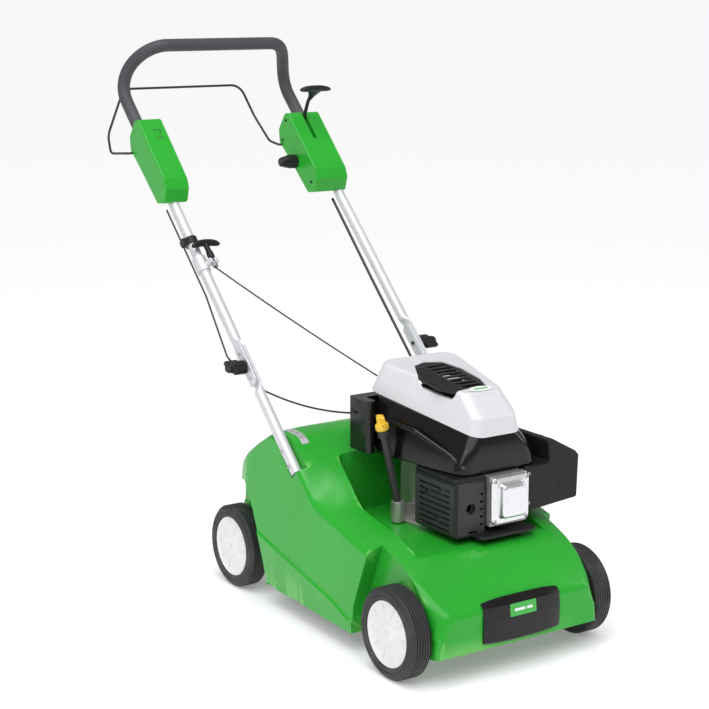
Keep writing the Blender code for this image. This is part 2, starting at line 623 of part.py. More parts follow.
def build_rotor():
    """Crankshaft with the flywheel and the starter's rope pulley above it."""
    centre = (ENGINE_X, ENGINE_Y, 0)
    shaft = rod("crankshaft", (ENGINE_X, ENGINE_Y, 0.136), (ENGINE_X, ENGINE_Y, 0.432), 0.0125, STEEL, 20)
    flywheel = lathe("flywheel", [(0.0128, 0.402), (0.086, 0.402), (0.086, 0.424), (0.070, 0.424),
                                  (0.030, 0.412), (0.0128, 0.412)], centre, (0, 0, 1), ALUMINIUM, 24)
    spool = lathe("recoil_pulley", [(0.006, 0.440), (0.040, 0.440), (0.040, 0.443), (0.034, 0.445),
                                    (0.034, 0.449), (0.040, 0.451), (0.040, 0.454), (0.006, 0.454)],
                  centre, (0, 0, 1), BLACK, 24)
    for part in (shaft, flywheel, spool):
        pivot_at(part, (ENGINE_X, ENGINE_Y, 0.400))


# --- handle ---------------------------------------------------------------------------------------------
def on_tube(distance, lift=0.0):
    """Point (y, z) on a handle tube's axis, a distance up from its foot, raised square to the tube."""
    return TUBE_FOOT + TUBE_DIR * distance + Vector((-TUBE_DIR.y, TUBE_DIR.x)) * lift


FOLD_AT = (FOLD - TUBE_FOOT).dot(TUBE_DIR)
TONGUE = 0.052               # reach of the flattened ends past the clamp screw


def tongue(name, side, x_low, x_high, start, end):
    corners = [on_tube(start, -0.016), on_tube(end, -0.016), on_tube(end, 0.016), on_tube(start, 0.016)]
    return prism(name, corners, "X", side * x_low, side * x_high, SILVER)


def screw_hole(name, side):
    return rod(name, (side * 0.20, *FOLD), (side * 0.28, *FOLD), 0.0045, SILVER, 16)


def build_lower_tube(side):
    tag = side_name(side)
    x = side * TUBE_X
    foot, top = on_tube(0), on_tube(FOLD_AT - 0.062)
    tube = sweep(f"lower_tube_{tag}", [Vector((x, *foot)), Vector((x, *top))], TUBE_R, SILVER, sides=16,
                 bore=TUBE_BORE)
    flat = tongue(f"lower_tongue_{tag}", side, 0.2270, 0.2335, FOLD_AT - 0.070, FOLD_AT + TONGUE)
    join(tube, flat)
    cut(tube, screw_hole(f"lower_screw_hole_{tag}", side))


GRIP_BAR = (0.7810, 1.2420)       # y and z of the bar across the top
BEND_FROM = 1.0900                # distance up the tube where a leg starts to bend
BEND_PULL = 0.1000                # how far the bend leans on along the tube's own line
BEND_CORNER_X = 0.2150            # reach of the bend's corner to the side
BEND_END_X = 0.1450               # where the bend runs out into the straight bar
SLEEVE_FROM = 0.9930              # distance up the tube to the foam sleeve's lower end


def handle_path(reach_from, steps=10):
    """Straight leg, one sweeping bend into the bar across the top, and the same on the other side."""
    controls = [Vector((TUBE_X, *on_tube(BEND_FROM))), Vector((TUBE_X, *on_tube(BEND_FROM + BEND_PULL))),
                Vector((BEND_CORNER_X, *GRIP_BAR)), Vector((BEND_END_X, *GRIP_BAR))]
    half = [Vector((TUBE_X, *on_tube(reach_from)))]
    for k in range(steps + 1):
        t = k / steps
        weights = ((1 - t) ** 3, 3 * t * (1 - t) ** 2, 3 * t * t * (1 - t), t ** 3)
        half.append(sum((weight * point for weight, point in zip(weights, controls)), Vector((0, 0, 0))))
    return half + [Vector((-p.x, p.y, p.z)) for p in half[::-1]]


def build_upper_handle():
    tube = sweep("upper_tube", handle_path(FOLD_AT + 0.062), TUBE_R, SILVER, sides=12, bore=TUBE_BORE)
    for side in (-1, 1):
        flat = tongue(f"upper_tongue_{side_name(side)}", side, 0.2345, 0.2410, FOLD_AT - TONGUE,
                      FOLD_AT + 0.070)
        join(tube, flat)
        cut(tube, screw_hole(f"upper_screw_hole_{side_name(side)}", side))
    pivot_at(tube, (0, *FOLD))
    sweep("grip_sleeve", handle_path(SLEEVE_FROM), GRIP_R, GRIP, sides=12, bore=TUBE_R + GAP)


def build_clamp_knob(side):
    """Winged nut on a screw through both flattened tube ends."""
    start = (side * 0.2230, *FOLD)
    profile = [(0, 0), (0.0042, 0), (0.0042, 0.0185), (0.0130, 0.0185), (0.0150, 0.024), (0.0130, 0.060),
               (0.0090, 0.067), (0, 0.067)]
    knob = lathe(f"clamp_knob_{side_name(side)}", profile, start, (side, 0, 0), BLACK, 16, closed=False)
    wings = [(-0.029, -0.008), (-0.022, -0.013), (0.022, 0.000), (0.029, 0.008), (0.022, 0.013),
             (-0.022, 0.000)]
    outline = [FOLD + Vector(p) for p in wings]
    vane = prism(f"knob_vane_{side_name(side)}", outline, "X", side * 0.2480, side * 0.2830, BLACK)
    join(knob, vane)
    pivot_at(knob, (side * 0.2480, *FOLD))


BOX_OUTLINE = [(0.586, 0.880), (0.576, 0.915), (0.585, 0.938), (0.651, 1.006), (0.714, 1.070), (0.732, 1.066),
               (0.760, 1.026), (0.756, 0.992), (0.707, 0.952), (0.622, 0.876)]


def build_control_box(name, x_low, x_high, side):
    shell = prism(name, BOX_OUTLINE, "X", x_low, x_high, GREEN)
    low, high = on_tube(0.60), on_tube(1.10)
    middle = Vector((0.668, 0.972))
    hollow = [middle + (Vector(p) - middle) * 0.92 for p in BOX_OUTLINE]
    cut(shell, prism(f"{name}_hollow", hollow, "X", x_low + 0.0025, x_high - 0.0025, GREEN))
    cut(shell, rod(f"{name}_bore", (side * TUBE_X, *low), (side * TUBE_X, *high), TUBE_R + GAP, GREEN, 20))
    return shell


def build_control_boxes():
    right = build_control_box("control_box_right", -0.266, -0.202, -1)
    cut(right, rod("bail_socket_right", (-0.300, BAIL_Y, BAIL_Z), (-0.2560, BAIL_Y, BAIL_Z), 0.0032, GREEN, 12))
    left = build_control_box("control_box_left", 0.158, 0.250, 1)
    cut(left, rod("bail_socket_left", (0.140, BAIL_Y, BAIL_Z), (0.1680, BAIL_Y, BAIL_Z), 0.0032, GREEN, 12))
    pivot = Vector((LEVER_Y, LEVER_Z))
    fan = [pivot + 0.012 * Vector((0.8, -0.6)), pivot + 0.150 * Vector((0.06, 1.0)),
           pivot + 0.150 * Vector((-1.00, 0.42)), pivot + 0.012 * Vector((-0.9, -0.5))]
    cut(left, prism("lever_slot", fan, "X", 0.1980, 0.2090, GREEN))
    cut(left, rod("lever_hub_seat", (0.1980, *pivot), (0.2090, *pivot), 0.0095, GREEN, 16))
    cut(left, rod("knob_socket", (0.140, 0.677, 0.950), (0.172, 0.677, 0.950), 0.0045, GREEN, 12))


def build_height_lever():
    """Bent lever on a hub inside the left box, with a cross bar to pull on."""
    x = 0.2035
    path = rounded([(x, LEVER_Y, LEVER_Z), (x, 0.7140, 1.0450), (x, 0.6880, 1.1000), (x, 0.6560, 1.1300)],
                   0.030, 3)
    lever = sweep("height_lever", path, 0.0045, BLACK, sides=10)
    hub = rod("lever_hub", (x - 0.0045, LEVER_Y, LEVER_Z), (x + 0.0045, LEVER_Y, LEVER_Z), 0.0080, BLACK, 16)
    flare = lathe("lever_flare", [(0, 0.0), (0.0050, 0.0), (0.0140, 0.036), (0, 0.036)],
                  (x, 0.6820, 1.1050), (0, -0.72, 0.69), BLACK, 16, closed=False)
    bar = sweep("lever_bar", [Vector((x - 0.043, 0.6555, 1.1290)), Vector((x - 0.020, 0.6530, 1.1330)),
                              Vector((x + 0.020, 0.6530, 1.1330)), Vector((x + 0.043, 0.6555, 1.1290))],
                0.0080, BLACK, sides=12)
    join(lever, hub, flare, bar)
    pivot_at(lever, (x, LEVER_Y, LEVER_Z))


def build_depth_knob():
    profile = [(0, -0.0140), (0.0040, -0.0140), (0.0040, 0.0005), (0.0150, 0.0005), (0.0175, 0.006),
               (0.0165, 0.022), (0.0120, 0.040), (0.0085, 0.046), (0, 0.047)]
    knob = lathe("depth_knob", profile, (0.158, 0.677, 0.950), (-1, 0, 0), BLACK, 20, closed=False)
    pivot_at(knob, (0.158, 0.677, 0.950))


def build_stop_bail():
    corners = [
        (-0.2580, BAIL_Y, BAIL_Z), (-0.2790, BAIL_Y, BAIL_Z), (-0.2800, 0.835, 0.980),
        (-0.2620, 0.8857, 1.020), (-0.2160, 0.8857, 1.133), (0.1180, 0.8857, 1.133),
        (0.1450, 0.860, 1.055), (0.1490, 0.790, 0.994), (0.1500, BAIL_Y, BAIL_Z), (0.1660, BAIL_Y, BAIL_Z),
    ]
    bail = sweep("stop_bail", rounded(corners, 0.036, 3), 0.0028, BLACK, sides=6)
    pivot_at(bail, (0, BAIL_Y, BAIL_Z))


# --- starter rope and cables ----------------------------------------------------------------------------
ROPE_X = -0.2175
EYE = Vector((ROPE_X, *on_tube(0.5720, 0.026)))
GRIP_SEAT = EYE + Vector((0, *(TUBE_DIR * 0.0075)))
ROPE_END = Vector((-0.030, 0.0225, 0.5330))


def build_rope_guide():
    """Clamp on the right handle tube with an eye for the starter rope."""
    low, high = on_tube(0.560), on_tube(0.600)
    clamp = sweep("rope_guide", [Vector((-TUBE_X, *low)), Vector((-TUBE_X, *high))], 0.0160, SILVER, sides=20,
                  bore=TUBE_R + GAP)
    arm = prism("guide_arm", [on_tube(0.566, 0.014), on_tube(0.578, 0.014), on_tube(0.578, 0.030),
                              on_tube(0.566, 0.030)], "X", -0.2300, -0.2050, SILVER)
    join(clamp, arm)
    along = Vector((0, *TUBE_DIR))
    cut(clamp, rod("guide_eye", EYE - along * 0.02, EYE + along * 0.02, 0.0045, SILVER, 16))


def build_starter_grip():
    along = Vector((0, *TUBE_DIR))
    profile = [(0, 0.0), (0.0080, 0.0), (0.0085, 0.012), (0.0060, 0.022), (0.0060, 0.046), (0, 0.046)]
    grip = lathe("starter_grip", profile, GRIP_SEAT, along, BLACK, 16, closed=False)
    middle = GRIP_SEAT + along * 0.046
    bar_points = [middle + Vector((-0.036, 0, 0)) - along * 0.006, middle + Vector((-0.018, 0, 0)),
                  middle + Vector((0.018, 0, 0)), middle + Vector((0.036, 0, 0)) - along * 0.006]
    join(grip, sweep("grip_bar", bar_points, 0.0085, BLACK, sides=12))
    pivot_at(grip, GRIP_SEAT)


def hanging(start, end, sag, steps=8):
    """Path between two points that hangs below the straight line."""
    start, end = Vector(start), Vector(end)
    drop = Vector((0, 0, -4 * sag))
    return [start.lerp(end, k / steps) + drop * (k / steps) * (1 - k / steps) for k in range(steps + 1)]


def build_ropes():
    along = Vector((0, *TUBE_DIR))
    rope = [GRIP_SEAT - along * 0.0005, EYE - along * 0.010] + hanging(EYE - along * 0.022, ROPE_END, 0.004)
    sweep("starter_rope", rope, 0.0018, CABLE, sides=6)
    outside = -0.2530
    stop = [(-0.2530, *on_tube(0.757, -0.010))]
    stop += [(outside, *on_tube(0.50, -0.009)), (outside, *on_tube(0.34, -0.034)),
             (-0.2150, *on_tube(0.275, -0.034))]
    stop_path = rounded(stop, 0.030, 3) + hanging((-0.2050, 0.232, 0.486), (-0.1145, 0.000, 0.470), 0.012)
    sweep("stop_cable", stop_path, 0.0022, CABLE, sides=6)
    lift = [(0.2200, *on_tube(0.757, -0.016)), (0.2140, *on_tube(0.50, -0.014)),
            (0.2140, *on_tube(0.24, -0.016)), (0.2060, 0.175, 0.446), (0.2000, 0.150, 0.4185)]
    sweep("lift_cable", rounded(lift, 0.040, 4), 0.0034, CABLE, sides=8)


def build_rear_flap():
    """Flap over the discharge opening, hanging on two pins in the housing sides."""
    roll = rod("rear_flap", (-0.172, FLAP_Y, FLAP_Z), (0.172, FLAP_Y, FLAP_Z), 0.0050, GREEN, 16)
    pins = rod("flap_pins", (-0.1865, FLAP_Y, FLAP_Z), (0.1865, FLAP_Y, FLAP_Z), 0.0025, GREEN, 12)
    plate = prism("flap_plate", [(FLAP_Y - 0.0035, FLAP_Z), (FLAP_Y + 0.0005, FLAP_Z), (0.3770, 0.130),
                                 (0.3640, 0.075), (0.3605, 0.075), (0.3735, 0.130)], "X", -0.172, 0.172, GREEN)
    join(roll, pins, plate)
    pivot_at(roll, (0, FLAP_Y, FLAP_Z))


build_housing()
build_nose()
build_frame()
build_axles()
for wheel_side in (-1, 1):
    build_wheel(f"front_{side_name(wheel_side)}", wheel_side, -AXLE_Y, FRONT_FACE_X)
    build_wheel(f"rear_{side_name(wheel_side)}", wheel_side, AXLE_Y, REAR_FACE_X)
build_blade_shaft()
build_drive()
build_crankcase()
build_cylinder()
build_valve_cover()
build_muffler()
build_air_filter()
build_covers()
build_fuel_tank()
build_oil_filler()
build_rotor()
for tube_side in (-1, 1):
    build_lower_tube(tube_side)
    build_clamp_knob(tube_side)
build_upper_handle()
build_control_boxes()
build_height_lever()
build_depth_knob()
build_stop_bail()
build_rope_guide()
build_starter_grip()
build_ropes()
build_rear_flap()

for made_part in bpy.data.objects:
    made_part.location.y += CENTRE_Y
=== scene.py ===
"""Looks of the petrol lawn scarifier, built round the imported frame.

The smooth pieces are laid out like the frame: metres from the point on the ground midway between the
axles, -Y towards the nose, +X towards the operator's left. settle() moves each into the frame's own place.
"""

import math

import bmesh
import bpy
from mathutils import Matrix, Vector
from mathutils.bvhtree import BVHTree


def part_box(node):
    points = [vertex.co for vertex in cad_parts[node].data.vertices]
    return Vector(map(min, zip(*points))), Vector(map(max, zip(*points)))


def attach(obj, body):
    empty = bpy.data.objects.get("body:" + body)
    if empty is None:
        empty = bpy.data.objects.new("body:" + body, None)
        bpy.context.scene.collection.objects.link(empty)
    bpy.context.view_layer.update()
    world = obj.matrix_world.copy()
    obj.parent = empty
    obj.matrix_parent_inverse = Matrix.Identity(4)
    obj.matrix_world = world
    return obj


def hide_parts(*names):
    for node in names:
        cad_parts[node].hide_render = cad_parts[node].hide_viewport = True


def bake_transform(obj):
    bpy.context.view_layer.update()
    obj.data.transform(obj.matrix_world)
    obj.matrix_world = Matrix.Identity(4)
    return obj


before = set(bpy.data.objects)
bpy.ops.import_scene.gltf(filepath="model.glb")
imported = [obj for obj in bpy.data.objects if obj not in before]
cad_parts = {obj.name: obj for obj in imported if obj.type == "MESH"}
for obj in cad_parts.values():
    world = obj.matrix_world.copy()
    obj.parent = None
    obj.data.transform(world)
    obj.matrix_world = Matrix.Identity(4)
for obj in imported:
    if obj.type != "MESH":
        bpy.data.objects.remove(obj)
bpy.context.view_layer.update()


def middle_of(node):
    low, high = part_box(node)
    return (low + high) / 2


# --- dimensions -----------------------------------------------------------------------------------------
FRONT_WHEEL = middle_of("tyre_front_left")
REAR_WHEEL = middle_of("tyre_rear_left")
MID_Y = (FRONT_WHEEL.y + REAR_WHEEL.y) / 2
AXLE_Y = (REAR_WHEEL.y - FRONT_WHEEL.y) / 2
WHEEL_R = FRONT_WHEEL.z
WHEEL_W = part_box("tyre_front_left")[1].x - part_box("tyre_front_left")[0].x
FRONT_FACE_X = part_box("tyre_front_left")[1].x
REAR_FACE_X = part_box("tyre_rear_left")[1].x

WALL = 0.0035
FRONT_BODY_X = 0.211
REAR_BODY_X = 0.187
PAN_Z = 0.237
ENGINE_X, ENGINE_Y = 0.053, -0.104

TUBE_X = 0.2345
TUBE_R = 0.0125
GRIP_R = 0.0155
TUBE_FOOT = Vector((0.050, 0.3396))
TUBE_DIR = Vector((0.7142, 0.7000)).normalized()
FOLD = Vector((0.258, 0.5434))
BAIL_Y, BAIL_Z = 0.745, 0.987
LEVER_Y, LEVER_Z = 0.722, 0.986
FLAP_Y, FLAP_Z = 0.359, 0.243


def on_tube(distance, lift=0.0):
    """Point (y, z) on a handle tube's axis, a distance up from its foot, raised square to the tube."""
    return TUBE_FOOT + TUBE_DIR * distance + Vector((-TUBE_DIR.y, TUBE_DIR.x)) * lift


FOLD_AT = (FOLD - TUBE_FOOT).dot(TUBE_DIR)
ALONG = Vector((0, *TUBE_DIR))
ACROSS = Vector((0, -TUBE_DIR.y, TUBE_DIR.x))
EYE = Vector((-0.2175, *on_tube(0.5720, 0.026)))
GRIP_SEAT = EYE + ALONG * 0.0075
ROPE_END = Vector((-0.030, 0.0225, 0.5330))


# --- materials ------------------------------------------------------------------------------------------
MOTTLE_SCALE = 6.0                # size of the noise behind colour, gloss and dust, in waves per metre
GLOSS_SCALE = 40.0
DUST_SCALE = 25.0
DUST_COLOUR = (0.34, 0.33, 0.30, 1.0)
GRAIN_DEPTH = 0.0006


def surface(name, colour, roughness, metallic=0.0, shade=0.08, gloss=0.06, grain=0.0, grain_scale=900.0,
            coat=0.0, wear=None, dust=0.0, specular=0.5):
    """Principled material with mottled colour, uneven gloss, fine grain and worn edges, all procedural."""
    made = bpy.data.materials.new(name)
    made.use_nodes = True
    nodes, links = made.node_tree.nodes, made.node_tree.links
    shader = nodes["Principled BSDF"]
    shader.inputs["Metallic"].default_value = metallic
    shader.inputs["Coat Weight"].default_value = coat
    shader.inputs["Specular IOR Level"].default_value = specular
    shader.inputs["Coat Roughness"].default_value = 0.08
    place = nodes.new("ShaderNodeTexCoord")

    def noise(scale, detail):
        made_noise = nodes.new("ShaderNodeTexNoise")
        made_noise.inputs["Scale"].default_value = scale
        made_noise.inputs["Detail"].default_value = detail
        links.new(place.outputs["Object"], made_noise.inputs["Vector"])
        return made_noise.outputs["Fac"]

    def mix(factor, first, second):
        blend = nodes.new("ShaderNodeMix")
        blend.data_type = "RGBA"
        for slot, value in ((0, factor), (6, first), (7, second)):
            socket = blend.inputs[slot]
            if isinstance(value, bpy.types.NodeSocket):
                links.new(value, socket)
            else:
                socket.default_value = value
        return blend.outputs[2]

    def spread(value, low, high, out_low, out_high):
        ramp = nodes.new("ShaderNodeMapRange")
        links.new(value, ramp.inputs["Value"])
        limits = {"From Min": low, "From Max": high, "To Min": out_low, "To Max": out_high}
        for socket, number in limits.items():
            ramp.inputs[socket].default_value = number
        return ramp.outputs["Result"]

    def tone(factor):
        return (*(min(1.0, c * factor) for c in colour), 1.0)

    base = mix(spread(noise(MOTTLE_SCALE, 3.0), 0.3, 0.7, 0.0, 1.0), tone(1 - shade), tone(1 + shade))
    if wear:
        edges = nodes.new("ShaderNodeNewGeometry")
        rubbed = spread(edges.outputs["Pointiness"], 0.53, 0.60, 0.0, 0.35)
        base = mix(rubbed, base, (*wear, 1.0))
    if dust:
        base = mix(spread(noise(DUST_SCALE, 8.0), 0.48, 0.75, 0.0, dust), base, DUST_COLOUR)
    links.new(base, shader.inputs["Base Color"])
    low, high = max(0.03, roughness - gloss), roughness + gloss
    links.new(spread(noise(GLOSS_SCALE, 6.0), 0.3, 0.7, low, high), shader.inputs["Roughness"])
    if grain:
        bump = nodes.new("ShaderNodeBump")
        bump.inputs["Strength"].default_value = grain
        bump.inputs["Distance"].default_value = GRAIN_DEPTH
        links.new(noise(grain_scale, 2.0), bump.inputs["Height"])
        links.new(bump.outputs["Normal"], shader.inputs["Normal"])
    return made


LOOKS = {
    "green_plastic": surface("gloss_green", (0.020, 0.370, 0.026), 0.26, shade=0.05, gloss=0.04, coat=0.10,
                             specular=0.32, grain=0.03, grain_scale=260, wear=(0.30, 0.72, 0.20)),
    # Darker copy of the housing green that paints the shade of recesses; no piece is painted with it.
    "painted_shade_green": surface("recess_painted_shade_green", (0.010, 0.170, 0.030), 0.42, shade=0.08, gloss=0.06, grain=0.05),
    "black_plastic": surface("grained_black", (0.011, 0.011, 0.012), 0.42, shade=0.15, gloss=0.07, grain=0.25,
                             specular=0.26, wear=(0.10, 0.10, 0.11)),
    "black_gloss": surface("gloss_black", (0.006, 0.005, 0.006), 0.19, shade=0.12, gloss=0.05, coat=0.10,
                           specular=0.30, grain=0.02, wear=(0.09, 0.08, 0.08)),
    "silver_paint": surface("silver_coat", (0.66, 0.66, 0.69), 0.33, metallic=0.25, shade=0.03, gloss=0.05,
                            grain=0.08, grain_scale=1500),
    "white_silver": surface("pearl_cover", (0.70, 0.70, 0.73), 0.36, metallic=0.08, shade=0.03, gloss=0.05,
                            coat=0.2, grain=0.06, grain_scale=1600),
    "grip_foam": surface("foam", (0.052, 0.050, 0.058), 0.62, shade=0.12, gloss=0.06, grain=0.6,
                         grain_scale=700, wear=(0.15, 0.15, 0.16)),
    "tyre_rubber": surface("tread_rubber", (0.022, 0.022, 0.024), 0.60, shade=0.15, gloss=0.08, grain=0.4,
                           grain_scale=500, dust=0.10, wear=(0.10, 0.10, 0.10)),
    "rim_plastic": surface("white_rim", (0.78, 0.78, 0.79), 0.36, shade=0.03, gloss=0.06, grain=0.05,
                           dust=0.06),
    "steel": surface("turned_steel", (0.50, 0.50, 0.51), 0.30, metallic=1.0, gloss=0.10, grain=0.12,
                     dust=0.05),
    "blade_steel": surface("knife_steel", (0.30, 0.29, 0.28), 0.38, metallic=1.0, shade=0.2, gloss=0.12,
                           grain=0.2, grain_scale=300, wear=(0.75, 0.75, 0.75)),
    "cast_aluminium": surface("casting", (0.50, 0.49, 0.47), 0.52, metallic=0.85, shade=0.1, gloss=0.08,
                              grain=0.6, grain_scale=420, wear=(0.78, 0.78, 0.78)),
    "bright_cover": surface("bright_cover", (0.78, 0.78, 0.80), 0.24, metallic=0.9, shade=0.05, gloss=0.07,
                            grain=0.12, grain_scale=350),
    "yellow_plastic": surface("gloss_yellow", (0.86, 0.50, 0.012), 0.30, shade=0.06, gloss=0.05, coat=0.3,
                              wear=(0.95, 0.72, 0.25)),
    "frame_paint": surface("frame_paint", (0.05, 0.05, 0.055), 0.45, shade=0.2, gloss=0.1, grain=0.2,
                           dust=0.12),
    "belt_rubber": surface("belt", (0.02, 0.02, 0.02), 0.7, shade=0.2, grain=0.4),
    "cable_sheath": surface("sheath", (0.018, 0.018, 0.020), 0.38, shade=0.1, gloss=0.05, grain=0.05),
    "rope": surface("braided_rope", (0.035, 0.035, 0.038), 0.75, shade=0.4, grain=0.8, grain_scale=1400),
    "label_silver": surface("label_foil", (0.62, 0.62, 0.66), 0.30, metallic=0.4, shade=0.06, gloss=0.08),
    "label_white": surface("label_white", (0.86, 0.87, 0.87), 0.32, shade=0.02, gloss=0.05),
    "label_green": surface("label_green", (0.05, 0.44, 0.06), 0.30, shade=0.05, gloss=0.05),
    "dark_print": surface("dark_print", (0.012, 0.045, 0.016), 0.4, shade=0.1, gloss=0.05),
}


# --- building blocks ------------------------------------------------------------------------------------
def keep(name, builder):
    """Turns a bmesh into a named object with outward faces."""
    bmesh.ops.recalc_face_normals(builder, faces=builder.faces)
    mesh = bpy.data.meshes.new(name)
    builder.to_mesh(mesh)
    builder.free()
    made = bpy.data.objects.new(name, mesh)
    bpy.context.scene.collection.objects.link(made)
    return made


def skin(name, loops, closed=False):
    """Skins a row of loops of 3-D points; one-point loops make a tip, and open ends are capped."""
    builder = bmesh.new()
    rows = [[builder.verts.new(p) for p in loop] for loop in loops]
    pairs = list(zip(rows, rows[1:]))
    if closed:
        pairs.append((rows[-1], rows[0]))
    for low, high in pairs:
        count = max(len(low), len(high))
        for i in range(count):
            j = (i + 1) % count
            face = [low[i % len(low)], low[j % len(low)], high[j % len(high)], high[i % len(high)]]
            builder.faces.new(list(dict.fromkeys(face)))
    if not closed:
        for end in (rows[0], rows[-1]):
            if len(end) > 2:
                builder.faces.new(end)
    return keep(name, builder)


def prism(name, outline, axis, start, end):
    """Extrudes a flat outline along X, Y or Z; the outline holds the other two coordinates in order."""
    slot = "XYZ".index(axis)

    def place(point, along):
        point = list(point)
        point.insert(slot, along)
        return point

    return skin(name, [[place(p, start) for p in outline], [place(p, end) for p in outline]])


def box(name, low, high):
    return prism(name, [(low[0], low[1]), (high[0], low[1]), (high[0], high[1]), (low[0], high[1])], "Z",
                 low[2], high[2])


def frame_for(axis):
    return Vector(axis).to_track_quat("Z", "Y").to_matrix()


def lathe(name, profile, centre, axis, steps=64, closed=True):
    """Turns (radius, along) points about an axis; open profiles are capped or end in a tip."""
    turn = frame_for(axis)
    loops = []
    for radius, along in profile:
        angles = [2 * math.pi * (i + 0.5) / steps for i in range(steps if radius else 1)]
        loops.append([Vector(centre) + turn @ Vector((radius * math.cos(a), radius * math.sin(a), along))
                      for a in angles])
    return skin(name, loops, closed)


def rod(name, start, end, radius, steps=32):
    start, end = Vector(start), Vector(end)
    return lathe(name, [(radius, 0), (radius, (end - start).length)], start, end - start, steps, closed=False)


def rounded(points, radius, steps=8, loop=False):
    """Path through the points with every inner corner turned into an arc."""
    points = [Vector(p) for p in points]
    path = [] if loop else [points[0]]
    corners = range(len(points)) if loop else range(1, len(points) - 1)
    for i in corners:
        here, before, after = points[i], points[i - 1], points[(i + 1) % len(points)]
        back, ahead = (before - here).normalized(), (after - here).normalized()
        half = back.angle(ahead) / 2
        if half > math.pi / 2 - 0.01:
            path.append(here)
            continue
        reach = min(radius / math.tan(half), 0.49 * (before - here).length, 0.49 * (after - here).length)
        bend = reach * math.tan(half)
        centre = here + (back + ahead).normalized() * bend / math.sin(half)
        first, last = here + back * reach - centre, here + ahead * reach - centre
        turn = first.angle(last)
        for k in range(steps + 1):
            t = k / steps
            spoke = math.sin((1 - t) * turn) * first + math.sin(t * turn) * last
            path.append(centre + spoke / math.sin(turn))
    if not loop:
        path.append(points[-1])
    return path


def sweep(name, path, radius, sides=24, bore=None):
    """Round bar or tube along a path, its section carried round the bends without twisting."""
    neighbours = zip(path[:1] + path[:-1], path[1:] + path[-1:])
    tangents = [(after - before).normalized() for before, after in neighbours]
    side = tangents[0].orthogonal().normalized()
    outer, inner = [], []
    for i, (point, along) in enumerate(zip(path, tangents)):
        if i:
            side = tangents[i - 1].rotation_difference(along) @ side
        up = along.cross(side)
        spokes = [side * math.cos(a) + up * math.sin(a)
                  for a in (2 * math.pi * (k + 0.5) / sides for k in range(sides))]
        outer.append([point + d * radius for d in spokes])
        if bore:
            inner.append([point + d * bore for d in spokes])
    return skin(name, outer + inner[::-1], closed=bool(bore))


def oval(centre, first, second, sides=32):
    """Points of an ellipse round a centre; the two vectors are its half axes."""
    angles = [2 * math.pi * i / sides for i in range(sides)]
    return [centre + first * math.cos(a) + second * math.sin(a) for a in angles]


def bake(piece):
    """Replaces the piece's mesh by the one its modifiers make."""
    bpy.context.view_layer.update()
    shape = piece.evaluated_get(bpy.context.evaluated_depsgraph_get())
    mesh = bpy.data.meshes.new_from_object(shape)
    piece.modifiers.clear()
    piece.data = mesh
    return piece


def combine(target, tools, operation):
    for tool in tools:
        modifier = target.modifiers.new(tool.name, "BOOLEAN")
        modifier.operation = operation
        modifier.solver = "EXACT"
        modifier.object = tool
    bake(target)
    for tool in tools:
        bpy.data.objects.remove(tool)
    return target


def cut(target, *tools):
    return combine(target, tools, "DIFFERENCE")


def join(target, *tools):
    return combine(target, tools, "UNION")


def soften(piece, width=0.001, segments=3, angle=32):
    """Rounds the sharp edges."""
    bevel = piece.modifiers.new("edges", "BEVEL")
    bevel.width = width
    bevel.segments = segments
    bevel.limit_method = "ANGLE"
    bevel.angle_limit = math.radians(angle)
    return bake(piece)


def shade(piece, angle=38):
    piece.data.polygons.foreach_set("use_smooth", [True] * len(piece.data.polygons))
    piece.data.set_sharp_from_angle(angle=math.radians(angle))
    normals = piece.modifiers.new("normals", "WEIGHTED_NORMAL")
    normals.keep_sharp = True
    return piece


def paint(piece, look):
    piece.data.materials.clear()
    piece.data.materials.append(LOOKS[look])
    return piece


def settle(piece, look, body, *nodes, angle=38):
    """Moves a finished piece from the layout into the frame, paints it and makes it ride on its body."""
    piece.data.transform(Matrix.Translation((0, MID_Y, 0)))
    paint(shade(piece, angle), look)
    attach(piece, body)
    if nodes:
        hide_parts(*nodes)
    return piece


def dress(look, *nodes):
    """Paints CAD nodes that stay in view and smooths their shading."""
    for node in nodes:
        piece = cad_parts[node]
        piece.modifiers.new("weld", "WELD").merge_threshold = 0.00002
        bevel = piece.modifiers.new("edges", "BEVEL")
        bevel.width = 0.0006
        bevel.segments = 2
        bevel.limit_method = "ANGLE"
        bevel.angle_limit = math.radians(40)
        paint(shade(piece), look)


def rounded_flat(corners, radius, steps=6):
    return [(p.x, p.y) for p in rounded([(a, b, 0) for a, b in corners], radius, steps, loop=True)]


def rounded_outline(low, high, radius):
    return rounded_flat([(low[0], low[1]), (high[0], low[1]), (high[0], high[1]), (low[0], high[1])], radius)


def rounded_block(name, low, high, radius, axis, start, end):
    """Extruded rectangle with rounded corners; low and high hold the two coordinates across the axis."""
    return prism(name, rounded_outline(low, high, radius), axis, start, end)


def side_name(side):
    return "right" if side < 0 else "left"


def screw(name, centre, axis, body, radius=0.0045, look="steel"):
    """Pan head screw with a cross recess."""
    head = lathe(name, [(0, -0.004), (radius, -0.004), (radius, 0.0010), (radius * 0.8, 0.0022), (0, 0.0028)],
                 (0, 0, 0), (0, 0, 1), 24, closed=False)
    half, arm = radius * 0.14, radius * 0.6
    cut(head, box("recess_a", (-arm, -half, 0.0012), (arm, half, 0.006)),
        box("recess_b", (-half, -arm, 0.0012), (half, arm, 0.006)))
    head.data.transform(Matrix.Translation(Vector(centre)) @ frame_for(axis).to_4x4())
    return settle(head, look, body)


